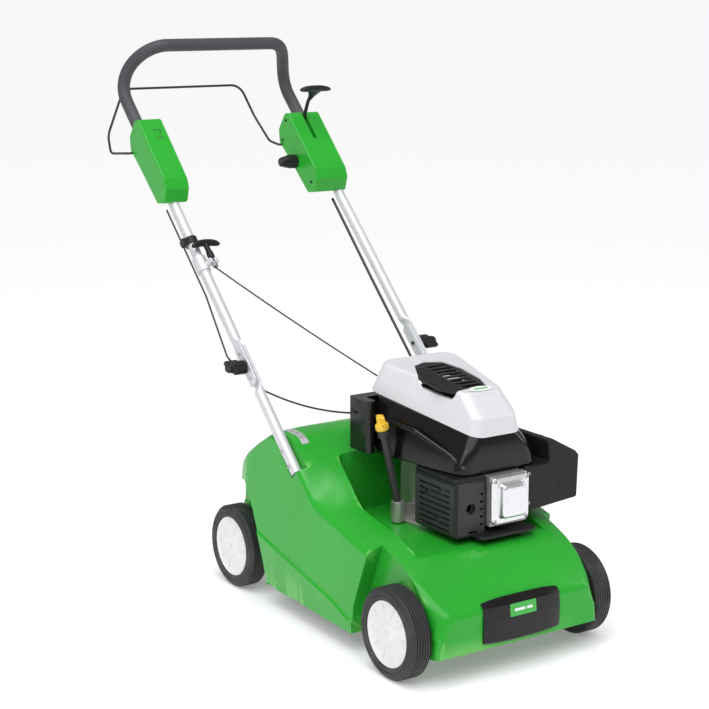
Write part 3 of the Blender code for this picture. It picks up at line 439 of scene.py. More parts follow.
# --- housing --------------------------------------------------------------------------------------------
# From nose to tail: y, bottom edge (x, z), side crease (x, z), shoulder (x, z), deck edge (x, z), middle z
HOUSING_SECTIONS = (
    (-0.4420, (0.207, 0.063), (0.203, 0.100), (0.182, 0.146), (0.115, 0.148), 0.149),
    (-0.4150, (0.215, 0.058), (0.216, 0.100), (0.200, 0.166), (0.130, 0.172), 0.174),
    (-0.3700, (0.225, 0.052), (0.229, 0.100), (0.215, 0.196), (0.150, 0.206), 0.208),
    (-0.3250, (0.236, 0.048), (0.240, 0.085), (0.226, 0.219), (0.170, 0.231), 0.235),
    (-0.2410, (0.246, 0.047), (0.249, 0.070), (0.246, 0.243), (0.175, 0.262), 0.268),
    (-0.1700, (0.246, 0.046), (0.250, 0.075), (0.247, 0.259), (0.172, 0.277), 0.282),
    (-0.1060, (0.244, 0.046), (0.250, 0.096), (0.246, 0.275), (0.170, 0.292), 0.294),
    (-0.0350, (0.242, 0.046), (0.250, 0.112), (0.245, 0.293), (0.165, 0.333), 0.335),
    (0.0130, (0.241, 0.047), (0.250, 0.123), (0.244, 0.337), (0.160, 0.358), 0.358),
    (0.0600, (0.240, 0.047), (0.250, 0.134), (0.243, 0.380), (0.160, 0.387), 0.384),
    (0.1000, (0.240, 0.048), (0.250, 0.143), (0.242, 0.409), (0.165, 0.412), 0.406),
    (0.1400, (0.239, 0.048), (0.250, 0.152), (0.240, 0.409), (0.165, 0.415), 0.412),
    (0.2030, (0.237, 0.048), (0.250, 0.167), (0.237, 0.380), (0.165, 0.397), 0.400),
    (0.2570, (0.236, 0.048), (0.249, 0.180), (0.236, 0.346), (0.160, 0.367), 0.371),
    (0.3050, (0.230, 0.050), (0.238, 0.190), (0.223, 0.312), (0.155, 0.335), 0.339),
    (0.3450, (0.1865, 0.055), (0.1865, 0.190), (0.184, 0.278), (0.150, 0.300), 0.303),
    (0.3660, (0.1855, 0.060), (0.1855, 0.190), (0.180, 0.262), (0.145, 0.272), 0.274),
)
HOUSING_KEYS = [row[0] for row in HOUSING_SECTIONS]
HOUSING_TRACKS = list(zip(*[(*b, *c, *s, *d, m) for _, b, c, s, d, m in HOUSING_SECTIONS]))
NOSE_ROUND = 0.009
CORNER_REACH = (0.0020, 0.0030, 0.016, 0.045)     # rounding of the crease, ledge, shoulder and deck edge
LEDGE = 0.0036                                    # step in the side wall above the crease
PAST_SIDE = 0.300                                 # anywhere beyond the housing's sides
RATING_STRIP = ((-0.205, 0.075), (-0.186, 0.075), (-0.186, 0.175), (-0.205, 0.175))     # corners (x, y)


def monotone(keys, values, at):
    """Smooth curve through the values that never overshoots them."""
    steps = [(values[i + 1] - values[i]) / (keys[i + 1] - keys[i]) for i in range(len(keys) - 1)]
    slopes = [steps[0]]
    for before, after in zip(steps, steps[1:]):
        slopes.append(0.0 if before * after <= 0 else 2 * before * after / (before + after))
    slopes.append(steps[-1])
    i = max(k for k in range(len(keys) - 1) if keys[k] <= at or k == 0)
    width = keys[i + 1] - keys[i]
    t = (at - keys[i]) / width
    return (values[i] * (1 + 2 * t) * (1 - t) ** 2 + slopes[i] * width * t * (1 - t) ** 2
            + values[i + 1] * t * t * (3 - 2 * t) + slopes[i + 1] * width * t * t * (t - 1))


def housing_loop(y, inset, nose_inset=0.0):
    """One cross-section of the housing with its long edges rounded."""
    bx, bz, cx, cz, sx, sz, dx, dz, mz = (monotone(HOUSING_KEYS, track, y) for track in HOUSING_TRACKS)
    inset_x, inset_z = inset + nose_inset, inset + nose_inset
    half = [Vector(p) for p in ((bx - inset_x, bz - 14 * inset), (cx - inset_x, cz),
                                (cx - inset_x - LEDGE, cz + 1.5 * LEDGE), (sx - inset_x, sz - inset_z),
                                (dx, dz - inset_z), (0, mz - inset_z))]
    points = [half[0]]
    for k, reach in enumerate(CORNER_REACH, 1):
        before, here, after = half[k - 1], half[k], half[k + 1]
        start = here + (before - here).normalized() * min(reach, 0.45 * (before - here).length)
        end = here + (after - here).normalized() * min(reach, 0.45 * (after - here).length)
        for step in range(6):
            t = step / 5
            points.append((1 - t) ** 2 * start + 2 * t * (1 - t) * here + t * t * end)
    points.append(half[5])
    return [(-p.x, p.y) for p in points] + [(p.x, p.y) for p in points[-2::-1]]


def housing_solid(name, inset=0.0, steps=84):
    first, last = HOUSING_KEYS[0], HOUSING_KEYS[-1]
    loops = []
    if not inset:
        for k in range(5):
            angle = math.pi / 2 * k / 5
            y = first + NOSE_ROUND * (1 - math.cos(angle))
            loops.append((y, housing_loop(y, 0.0, NOSE_ROUND * (1 - math.sin(angle)))))
    begin = first + (inset or NOSE_ROUND)
    for k in range(steps + 1):
        y = begin + (last - begin) * k / steps
        loops.append((y, housing_loop(y, inset)))
    if inset:
        loops.append((last + 0.02, [(x, z - 0.02) for x, z in loops[-1][1]]))
    return skin(name, [[(x, y, z) for x, z in loop] for y, loop in loops])


def front_bay(name, side, grow=0.0):
    """Space for a front wheel, open to the front, the side and the bottom."""
    outline = rounded_flat([
        (-0.243 + grow, 0.400), (-0.243 + grow, 0.244), (-0.220 + grow, 0.188),
        (-0.190 + grow, 0.113), (-0.168 + grow, -0.050), (-0.500, -0.050), (-0.500, 0.400),
    ], 0.012, 4)
    return prism(name, outline, "X", side * (FRONT_BODY_X - grow), side * PAST_SIDE)


def rear_bay(name, side, grow=0.0):
    """Space for a rear wheel below the swept-back rear corner."""
    outline = rounded_flat([
        (0.179 - grow, -0.050), (0.179 - grow, 0.050), (0.187 - grow, 0.106), (0.199 - grow, 0.162),
        (0.229 - grow, 0.218 + grow), (0.273, 0.276 + grow), (0.420, 0.226 + grow), (0.420, -0.050),
    ], 0.020, 4)
    return prism(name, outline, "X", side * (REAR_BODY_X - grow), side * PAST_SIDE)


def engine_well(name, grow=0.0):
    """Recess in the deck that the engine stands in, its walls leaning outwards."""
    loops = []
    for z, lean in ((PAN_Z - grow, 0.0), (0.500, 0.006)):
        back, front = 0.034 + grow + lean, -0.336 - grow - lean
        narrow, wide = 0.136 + grow + lean, 0.168 + grow
        corners = [(-narrow, back, z), (narrow, back, z), (wide, -0.110, z), (wide, front, z),
                   (-wide, front, z), (-wide, -0.110, z)]
        loops.append(rounded(corners, 0.022, 6, loop=True))
    return skin(name, loops)


def tube_seat(name, side, grow=0.0):
    """Notch in the shoulder that takes the foot of a handle tube."""
    across = Vector((TUBE_DIR.y, -TUBE_DIR.x))
    low = TUBE_FOOT + across * (TUBE_R + 0.0003 + grow) - TUBE_DIR * (0.004 + grow)
    high = low + TUBE_DIR * 0.170
    outline = [low, high, high - across * 0.100, low - across * 0.100]
    inner = TUBE_X - TUBE_R - 0.001 - grow
    return prism(name, outline, "X", side * inner, side * PAST_SIDE)


def build_housing():
    shell = housing_solid("housing_skin")
    surface_tree = BVHTree.FromObject(shell, bpy.context.evaluated_depsgraph_get())
    cavity = housing_solid("housing_cavity", WALL)
    for tag, inset, target in (("out", 0.0, shell), ("in", WALL, cavity)):
        tools = [engine_well(f"well_{tag}", inset)]
        for side in (-1, 1):
            tools += [front_bay(f"front_{tag}_{side}", side, inset),
                      rear_bay(f"rear_{tag}_{side}", side, inset),
                      tube_seat(f"seat_{tag}_{side}", side, inset)]
        cut(target, *tools)
    cut(shell, cavity, box("front_axle_slot", (-PAST_SIDE, -0.3485, 0.0), (PAST_SIDE, -0.3130, 0.186)),
        box("rear_axle_slot", (-PAST_SIDE, AXLE_Y - 0.008, 0.0), (PAST_SIDE, AXLE_Y + 0.008, 0.106)),
        rod("crank_hole", (ENGINE_X, ENGINE_Y, 0.2), (ENGINE_X, ENGINE_Y, 0.3), 0.024),
        rod("flap_pin_holes", (-PAST_SIDE, FLAP_Y, FLAP_Z), (PAST_SIDE, FLAP_Y, FLAP_Z), 0.0030, 12))
    soften(shell, 0.0012, 2, 40)
    settle(shell, "green_plastic", "chassis", "housing_shell", angle=42)
    return surface_tree


def laid_on(name, tree, corners, thickness, steps=10):
    """Thin plate that follows the housing's surface between four (x, y) corners."""
    a, b, c, d = (Vector(p) for p in corners)
    builder = bmesh.new()
    sheets = []
    for lift in (-0.0004, thickness):
        grid = []
        for i in range(steps + 1):
            row = []
            for j in range(steps + 1):
                u, v = i / steps, j / steps
                spot = (a * (1 - u) + b * u) * (1 - v) + (d * (1 - u) + c * u) * v
                hit, normal, _, _ = tree.ray_cast(Vector((spot.x, spot.y, 1.0)), Vector((0, 0, -1)))
                row.append(builder.verts.new(hit + normal * lift))
            grid.append(row)
        sheets.append(grid)
    for grid in sheets:
        for i in range(steps):
            for j in range(steps):
                builder.faces.new([grid[i][j], grid[i + 1][j], grid[i + 1][j + 1], grid[i][j + 1]])
    rim = [(i, 0) for i in range(steps)] + [(steps, j) for j in range(steps)]
    rim += [(i, steps) for i in range(steps, 0, -1)] + [(0, j) for j in range(steps, 0, -1)]
    for (i, j), (k, m) in zip(rim, rim[1:] + rim[:1]):
        builder.faces.new([sheets[0][i][j], sheets[0][k][m], sheets[1][k][m], sheets[1][i][j]])
    return keep(name, builder)


NOSE_Y = -0.4424                  # back of the carrying grip, where it meets the housing
NOSE_HALF = 0.100                 # half the grip's width
NOSE_LEAN_Z = 0.1200              # above this height its front leans back
BADGE_LAYERS = (                  # name, look, low and high corner (x, z), height above the grip
    ("badge", "label_green", (-0.036, 0.1235), (0.032, 0.1500), 0.0006),
    ("badge_bar_0", "label_white", (-0.025, 0.1335), (0.003, 0.1390), 0.0009),
    ("badge_bar_1", "label_white", (0.007, 0.1335), (0.022, 0.1390), 0.0009),
)


def nose_thickness(u):
    """Thickness of the carrying grip, from its middle (u = 0) to its ends (u = 1)."""
    return 0.0100 - 0.0055 * u ** 4


def nose_section(u):
    """Cross-section (y, z) of the carrying grip; it thins and narrows from the middle towards its ends."""
    low, high = 0.0670 + 0.0050 * u ** 3, 0.1640 - 0.0060 * u ** 4
    front = NOSE_Y - nose_thickness(u)
    corners = [(NOSE_Y, low), (NOSE_Y, 0.1480), (-0.4300, high - 0.0020), (-0.4330, high + 0.0015),
               (front + 0.0035, 0.1520), (front, NOSE_LEAN_Z), (front + 0.0010, low + 0.0080)]
    return rounded_flat(corners, 0.0040, 4)


def nose_front(x, z):
    """Front surface of the carrying grip at a place across it."""
    front = NOSE_Y - nose_thickness(abs(x) / NOSE_HALF)
    return front + max(0.0, 0.0035 * (z - NOSE_LEAN_Z) / 0.0320)


def build_nose():
    stations = [NOSE_HALF * math.sin(math.pi / 2 * k / 16) for k in range(-16, 17)]
    grip = skin("nose_grip", [[(x, y, z) for y, z in nose_section(abs(x) / NOSE_HALF)] for x in stations])
    settle(soften(grip, 0.0016, 3, 60), "black_gloss", "chassis", "front_grip", angle=50)
    for name, look, low, high, lift in BADGE_LAYERS:
        outline = rounded_outline(low, high, 0.0024)
        layers = [[(x, nose_front(x, z) + depth, z) for x, z in outline] for depth in (0.0004, -lift)]
        stands_for = [name] if name == "badge" else []
        settle(skin(name, layers), look, "chassis", *stands_for)


def build_housing_details(tree):
    """Rating strip by the right handle tube, and the bolts through both tubes."""
    strip = laid_on("rating_strip", tree, RATING_STRIP, 0.0006)
    settle(strip, "label_silver", "chassis")
    a, b, c, d = (Vector(p) for p in RATING_STRIP)
    for k in range(4):
        low, high = 0.12 + 0.20 * k, 0.22 + 0.20 * k
        first, second = a.lerp(d, low), a.lerp(d, high)
        third, fourth = b.lerp(c, high), b.lerp(c, low)
        mark = laid_on(f"strip_mark_{k}", tree, (first.lerp(fourth, 0.2), first.lerp(fourth, 0.8),
                                                 second.lerp(third, 0.8), second.lerp(third, 0.2)), 0.0009, 3)
        settle(mark, "cast_aluminium", "chassis")
    for side in (-1, 1):
        for distance in (0.020, 0.060):
            spot = Vector((side * (TUBE_X + TUBE_R), *on_tube(distance)))
            screw(f"tube_bolt_{side_name(side)}_{distance * 1000:.0f}", spot, (side, 0, 0), "chassis", 0.0048)


# --- wheels ---------------------------------------------------------------------------------------------
def build_wheel(name, side, y, face_x):
    """Ribbed tyre with a bead line, on a dished white disc."""
    centre, inward, body = (side * face_x, y, WHEEL_R), (-side, 0, 0), f"wheel_{name}"
    tread = [(WHEEL_R - 0.0030, 0.0050), (WHEEL_R - 0.0008, 0.0075)]
    grooves, width = 6, WHEEL_W - 0.018
    for k in range(grooves):
        at = 0.0100 + width * k / (grooves - 1)
        tread += [(WHEEL_R, at - 0.0014), (WHEEL_R, at), (WHEEL_R - 0.0022, at + 0.0007),
                  (WHEEL_R - 0.0022, at + 0.0017), (WHEEL_R, at + 0.0024)]
    tread += [(WHEEL_R - 0.0008, WHEEL_W - 0.0045), (WHEEL_R - 0.0045, WHEEL_W - 0.0020)]
    tyre = [(0.0702, 0.0035), (0.0715, 0.0012), (0.0740, 0.0004), (0.0790, 0.0009), (0.0800, 0.0018),
            (0.0810, 0.0009), (0.0860, 0.0006), (0.0900, 0.0016)]
    tyre += tread + [(0.0900, WHEEL_W - 0.0010), (0.0760, WHEEL_W - 0.0006), (0.0702, WHEEL_W - 0.0030)]
    settle(lathe(f"tread_{name}", tyre, centre, inward, 96), "tyre_rubber", body, f"tyre_{name}", angle=30)
    disc = [(0.0063, 0.0022), (0.0085, 0.0016), (0.0190, 0.0016), (0.0205, 0.0024), (0.0240, 0.0050),
            (0.0560, 0.0078), (0.0610, 0.0068), (0.0640, 0.0042), (0.0660, 0.0030), (0.0690, 0.0030),
            (0.0698, 0.0040), (0.0698, WHEEL_W - 0.0040), (0.0640, WHEEL_W - 0.0040), (0.0610, 0.0110),
            (0.0190, 0.0095), (0.0160, WHEEL_W - 0.0010), (0.0063, WHEEL_W - 0.0010)]
    rim = lathe(f"disc_{name}", disc, centre, inward, 96)
    settle(rim, "rim_plastic", body, f"rim_{name}", angle=30)
    dome = [(0, 0.0006), (0.0040, 0.0008), (0.0062, 0.0022), (0.0062, 0.0100), (0, 0.0100)]
    settle(lathe(f"hub_cap_{name}", dome, centre, inward, 32, closed=False), "rim_plastic", body)
    for k in range(10):
        turn = Matrix.Rotation(2 * math.pi * k / 10, 4, "Z")
        web = box(f"web_{name}_{k}", (0.0215, -0.0010, 0.0052), (0.0600, 0.0010, 0.0085))
        web.data.transform(Matrix.Translation(centre) @ frame_for(inward).to_4x4() @ turn)
        settle(web, "rim_plastic", body)


# --- engine ---------------------------------------------------------------------------------------------
def level(rear_r, rear_l, front_r, front_l, y_rear, y_front, z_rear, z_front, corner=0.030, steps=7):
    """Rounded four-sided loop whose front and rear edges may stand at different heights."""
    corners = [(rear_r, y_rear, z_rear), (rear_l, y_rear, z_rear), (front_l, y_front, z_front),
               (front_r, y_front, z_front)]
    return rounded(corners, corner, steps, loop=True)


def shrunk(base, inset, lift):
    """The same level pulled in all round and raised."""
    rear_r, rear_l, front_r, front_l, y_rear, y_front, z_rear, z_front = base
    return (rear_r + inset, rear_l - inset, front_r + inset, front_l - inset, y_rear - inset, y_front + inset,
            z_rear + lift, z_front + lift)


TILT = Matrix.Translation((0, 0, 0.5800)) @ Matrix.Rotation(math.atan(0.156), 4, "X")
OPENING = [(0.004, -0.056), (-0.028, -0.115), (-0.030, -0.185), (-0.006, -0.219), (0.040, -0.214),
           (0.080, -0.219), (0.096, -0.173), (0.097, -0.106), (0.081, -0.055), (0.040, -0.042)]


def build_starter_cover():
    foot = (-0.077, 0.180, -0.004, 0.118, 0.022, -0.290, 0.5195, 0.4580)
    belt = (-0.070, 0.173, 0.000, 0.112, 0.017, -0.285, 0.5400, 0.4950)
    top = (-0.052, 0.145, 0.012, 0.100, 0.000, -0.236, 0.5800, 0.5432)
    loops = [level(*foot), level(*shrunk(belt, -0.0005, -0.004)), level(*shrunk(belt, 0.0015, 0.004))]
    loops.append(level(*shrunk(top, -0.0080, -0.0090)))
    for k in range(1, 6):
        angle = math.pi / 2 * k / 5
        inset, lift = 0.0020 - 0.0100 * math.cos(angle), 0.0090 * (math.sin(angle) - 1)
        loops.append(level(*shrunk(top, inset, lift)))
    cover = skin("starter_dome", loops)
    inner = [level(*shrunk(foot, 0.003, -0.010))]
    inner += [level(*shrunk(base, 0.003, -0.003)) for base in (foot, belt, top)]
    hole = prism("grille_hole", rounded_flat(OPENING, 0.008, 5), "Z", -0.020, 0.020)
    hole.data.transform(TILT)
    cut(cover, skin("dome_inside", inner), hole)
    settle(soften(cover, 0.0016, 3, 40), "white_silver", "chassis", "starter_cover", angle=45)


def build_grille():
    """Dark fan grille: fine fins on the right, open slots on the left."""
    middle = Vector((0.035, -0.130))
    outline = [middle + (Vector(p) - middle) * 0.985 for p in OPENING]
    plate = prism("fan_grille", rounded_flat(outline, 0.008, 5), "Z", -0.0075, -0.0040)
    slots = []
    for k in range(8):
        y = -0.062 - 0.0180 * k
        slots.append(rounded_block(f"slot_{k}", (0.030, y - 0.0095), (0.084, y), 0.004, "Z", -0.02, 0.02))
    cut(plate, *slots)
    plate.data.transform(TILT)
    settle(soften(plate, 0.0005, 2), "black_plastic", "chassis", "inlet_grille")
    for k in range(17):
        y = -0.066 - 0.0085 * k
        reach = -0.020 if -0.205 < y < -0.110 else -0.008
        fin = box(f"grille_fin_{k}", (reach, y - 0.0012, -0.0045), (0.026, y + 0.0012, -0.0022))
        fin.data.transform(TILT)
        settle(fin, "black_plastic", "chassis")


def build_cover_label():
    """Blank oval label on the dome's front slope, with a plain green stroke."""
    slope = math.atan2(0.5800 - 0.5432, 0.236)
    centre = Vector((0.056, -0.2240, 0.5462))
    turn = Matrix.Translation(centre) @ Matrix.Rotation(slope, 4, "X")
    oval = lathe("cover_label", [(0, -0.0004), (0.0200, -0.0004), (0.0205, 0.0004), (0, 0.0006)], (0, 0, 0),
                 (0, 0, 1), 48, closed=False)
    oval.data.transform(turn @ Matrix.Diagonal((1.55, 0.62, 1, 1)))
    settle(oval, "label_white", "chassis")
    stroke = rounded_block("label_stroke", (-0.018, -0.0030), (0.018, 0.0025), 0.0024, "Z", 0.0004, 0.0009)
    stroke.data.transform(turn)
    settle(stroke, "label_green", "chassis")


def build_shroud():
    """Fan shroud with bulging sides, an open underside and a rib arching over its right side."""
    low = (-0.085, 0.183, -0.045, 0.165, -0.005, -0.290, 0.3820, 0.3820)
    top = (-0.078, 0.178, -0.004, 0.118, -0.005, -0.287, 0.5140, 0.4575)

    def stage_at(t, inset):
        mixed = [a * (1 - t) + b * t for a, b in zip(low, top)]
        mixed[6], mixed[7] = 0.3920 + 0.1220 * t, 0.3920 + 0.0655 * t
        return shrunk(mixed, inset - 0.0040 * math.sin(math.pi * t), 0.0)

    outer = [level(*low), level(*shrunk(low, -0.0003, 0.0060))]
    outer += [level(*stage_at(k / 10, 0.0)) for k in range(1, 11)]
    inner = [level(*shrunk(low, 0.0040, -0.0120))]
    inner += [level(*stage_at(k / 10, 0.0040)) for k in range(1, 10)]
    shroud = skin("fan_shroud", outer)
    cut(shroud, skin("shroud_inside", inner))
    settle(soften(shroud, 0.0016, 3, 45), "black_gloss", "chassis", "blower_shroud", angle=45)
    arch = rounded([(-0.0800, -0.020, 0.430), (-0.0790, -0.060, 0.462), (-0.0660, -0.150, 0.4560),
                    (-0.0420, -0.250, 0.4180), (-0.0300, -0.2850, 0.3950)], 0.060, 8)
    settle(sweep("shroud_arch", arch, 0.0065, 20), "black_gloss", "chassis")


TANK_OUTLINE = [(-0.112, -0.045), (-0.112, 0.0315), (0.160, 0.0315), (0.160, -0.001), (-0.0885, -0.001),
                (-0.0885, -0.045)]
FILLER_X, FILLER_Y = 0.210, 0.015


def build_tank():
    tank = prism("tank_body", rounded_flat(TANK_OUTLINE, 0.010), "Z", 0.387, 0.503)
    lobe = rounded_block("tank_lobe", (0.150, -0.0010), (0.236, 0.0315), 0.012, "Z", 0.387, 0.466)
    spout = rod("tank_neck", (FILLER_X, FILLER_Y, 0.460), (FILLER_X, FILLER_Y, 0.4720), 0.0130)
    join(tank, lobe, spout)
    settle(soften(tank, 0.0040, 4, 40), "black_gloss", "chassis", "fuel_tank")
    profile = [(0, 0.0), (0.0195, 0.0), (0.0210, 0.002), (0.0205, 0.011), (0.0190, 0.0135),
               (0.0140, 0.0145), (0.0130, 0.0120), (0, 0.0120)]
    cap = lathe("filler_cap", profile, (FILLER_X, FILLER_Y, 0.4723), (0, 0, 1), 48, closed=False)
    notches = []
    for k in range(16):
        angle = 2 * math.pi * k / 16
        spot = Vector((FILLER_X + 0.0222 * math.cos(angle), FILLER_Y + 0.0222 * math.sin(angle), 0.468))
        notches.append(rod(f"notch_{k}", spot, spot + Vector((0, 0, 0.03)), 0.0022, 10))
    settle(cut(cap, *notches), "black_plastic", "fuel_cap", "fuel_cap")


def build_muffler_guard():
    guard = rounded_block("exhaust_guard", (-0.065, 0.2500), (0.0165, 0.3740), 0.009, "Y", -0.300, -0.154)
    soften(guard, 0.0050, 4, 50)
    tools = [box("guard_inside", (-0.0620, -0.2970, 0.2530), (0.0135, -0.100, 0.3710))]
    for k in range(8):
        z = 0.2610 + 0.0125 * k
        tools.append(rounded_block(f"side_slot_{k}", (-0.280, z), (-0.172, z + 0.0058), 0.0025, "X",
                                   -0.080, -0.060))
    for y, z in ((-0.248, 0.345), (-0.200, 0.330), (-0.232, 0.285)):
        tools.append(rod(f"side_hole_{z}", (-0.080, y, z), (-0.060, y, z), 0.0085))
    tools.append(rod("guard_outlet", (-0.024, -0.310, 0.312), (-0.024, -0.290, 0.312), 0.0120))
    for k in range(5):
        z = 0.272 + 0.0165 * k
        tools.append(rounded_block(f"front_slot_{k}", (0.000, z), (0.0085, z + 0.0055), 0.0025, "Y",
                                   -0.310, -0.290))
    tools.append(rounded_block("front_vent", (-0.030, 0.2580), (-0.006, 0.2625), 0.002, "Y", -0.310, -0.290))
    cut(guard, *tools)
    settle(soften(guard, 0.0005, 2, 50), "black_plastic", "chassis", "muffler_guard")
    lip = rounded_block("guard_lip", (-0.0655, -0.2990), (0.0165, -0.1540), 0.008, "Z", 0.3712, 0.3800)
    settle(soften(lip, 0.0030, 4), "black_plastic", "chassis")


VALVE_COVER_STEPS = (             # y, inset and corner rounding, from the gasket out to the raised middle
    (-0.3103, 0.0000, 0.012), (-0.3150, 0.0000, 0.012), (-0.3170, 0.0015, 0.011), (-0.3180, 0.0035, 0.010),
    (-0.3185, 0.0150, 0.010), (-0.3205, 0.0175, 0.010), (-0.3290, 0.0185, 0.010), (-0.3322, 0.0205, 0.009),
    (-0.3338, 0.0250, 0.008), (-0.3342, 0.0320, 0.006),
)


def build_valve_cover():
    loops = []
    for y, inset, corner in VALVE_COVER_STEPS:
        low, high = (0.018 + inset, 0.272 + 0.8 * inset), (0.118 - inset, 0.3745 - 0.8 * inset)
        loops.append([(x, y, z) for x, z in rounded_outline(low, high, corner)])
    settle(skin("rocker_cover", loops), "bright_cover", "chassis", "valve_cover", angle=50)
    for x in (0.0265, 0.1095):
        for z in (0.2800, 0.3665):
            screw(f"cover_bolt_{x * 1000:.0f}_{z * 1000:.0f}", (x, -0.3178, z), (0, -1, 0), "chassis", 0.0040)
    base = rounded_block("engine_skirt", (-0.020, -0.3330), (0.1300, -0.1500), 0.012, "Z", 0.2500, 0.2560)
    settle(soften(base, 0.0012, 3), "black_plastic", "chassis")


FILTER_OUTLINE = [(0.1220, 0.280), (0.2680, 0.291), (0.2710, 0.386), (0.2620, 0.396), (0.1960, 0.432),
                  (0.1830, 0.432), (0.1885, 0.3800), (0.1220, 0.3800)]


def build_air_filter():
    body = prism("filter_box", rounded_flat(FILTER_OUTLINE, 0.006, 5), "Y", -0.300, -0.1550)
    settle(soften(body, 0.0035, 4, 40), "black_plastic", "chassis", "air_filter_box")
    middle = Vector((0.200, 0.345))
    outline = [middle + (Vector(p) - middle) * 1.008 for p in FILTER_OUTLINE]
    seam = prism("filter_seam", rounded_flat(outline, 0.006, 5), "Y", -0.2640, -0.2600)
    settle(soften(seam, 0.0008, 2), "black_gloss", "chassis")
    for z in (0.300, 0.365):
        screw(f"filter_screw_{z * 1000:.0f}", (0.1300, -0.2998, z), (0, -1, 0), "chassis", 0.0042)
    screw("filter_knob", (0.2150, -0.2998, 0.328), (0, -1, 0), "chassis", 0.0035, "black_plastic")


OIL_FOOT = Vector((-0.068, -0.0940, 0.2885))
OIL_TOP = Vector((-0.101, -0.0860, 0.4480))


def build_oil_filler():
    along = (OIL_TOP - OIL_FOOT).normalized()
    tube = sweep("filler_tube", [OIL_FOOT, OIL_TOP], 0.0085, 32, bore=0.0040)
    settle(tube, "black_plastic", "chassis", "oil_tube")
    stick = [(0, -0.130), (0.0030, -0.128), (0.0030, 0.0003), (0.0130, 0.0003), (0.0150, 0.003),
             (0.0152, 0.011), (0.0130, 0.0155), (0.0095, 0.0180), (0.0090, 0.030), (0.0070, 0.0335),
             (0, 0.0345)]
    cap = lathe("dipstick_cap", stick, OIL_TOP, along, 40, closed=False)
    wing = [(-0.0185, 0.013), (0.0185, 0.013), (0.0150, 0.034), (0.0060, 0.031), (-0.0060, 0.031),
            (-0.0150, 0.034)]
    wings = prism("wings", rounded_flat(wing, 0.004, 5), "Y", -0.0042, 0.0042)
    wings.data.transform(Matrix.Translation(OIL_TOP) @ frame_for(along).to_4x4())
    join(cap, wings)
    settle(soften(cap, 0.0010, 3, 40), "yellow_plastic", "oil_dipstick", "oil_dipstick")
    band = [(0.0088, -0.016), (0.0125, -0.015), (0.0125, -0.001), (0.0088, -0.0006)]
    settle(lathe("filler_collar", band, OIL_TOP, along, 40), "black_plastic", "chassis")


# --- handle ---------------------------------------------------------------------------------------------
GRIP_BAR = (0.7810, 1.2420)       # y and z of the bar across the top
BEND_FROM = 1.0900                # distance up the tube where a leg starts to bend
BEND_PULL = 0.1000                # how far the bend leans on along the tube's own line
BEND_CORNER_X = 0.2150            # reach of the bend's corner to the side
BEND_END_X = 0.1450               # where the bend runs out into the straight bar
SLEEVE_FROM = 0.9930              # distance up the tube to the foam sleeve's lower end


def handle_path(reach_from, steps=28):
    """Straight leg, one sweeping bend into the bar across the top, and the same on the other side."""
    controls = [Vector((TUBE_X, *on_tube(BEND_FROM))), Vector((TUBE_X, *on_tube(BEND_FROM + BEND_PULL))),
                Vector((BEND_CORNER_X, *GRIP_BAR)), Vector((BEND_END_X, *GRIP_BAR))]
    half = [Vector((TUBE_X, *on_tube(reach_from)))]
    for k in range(steps + 1):
        t = k / steps
        weights = ((1 - t) ** 3, 3 * t * (1 - t) ** 2, 3 * t * t * (1 - t), t ** 3)
        half.append(sum((weight * point for weight, point in zip(weights, controls)), Vector((0, 0, 0))))
    return half + [Vector((-p.x, p.y, p.z)) for p in half[::-1]]


TONGUE = 0.052               # reach of the flattened tube ends past the clamp screw


def patch(start, end, low, high):
    """Outline (y, z) of a block beside a handle tube, between two distances up it."""
    return [on_tube(start, low), on_tube(end, low), on_tube(end, high), on_tube(start, high)]


def tongue(name, side, x_low, x_high, start, end):
    """Flattened tube end with a round tip round the clamp screw."""
    outline = rounded_flat(patch(start, end, -0.016, 0.016), 0.010)
    return soften(prism(name, outline, "X", side * x_low, side * x_high), 0.0015, 3)


def neck(name, side, x_flat, start, end):
    """Stretch where the round tube turns into its flattened end."""
    loops = []
    for k in range(7):
        t = k / 6
        ease = t * t * (3 - 2 * t)
        x = side * (TUBE_X * (1 - ease) + x_flat * ease)
        thick, wide = TUBE_R * (1 - ease) + 0.0034 * ease, TUBE_R * (1 - ease) + 0.0162 * ease
        middle = Vector((x, *on_tube(start + (end - start) * t)))
        loops.append(oval(middle, Vector((thick, 0, 0)), ACROSS * wide, 28))
    return skin(name, loops)


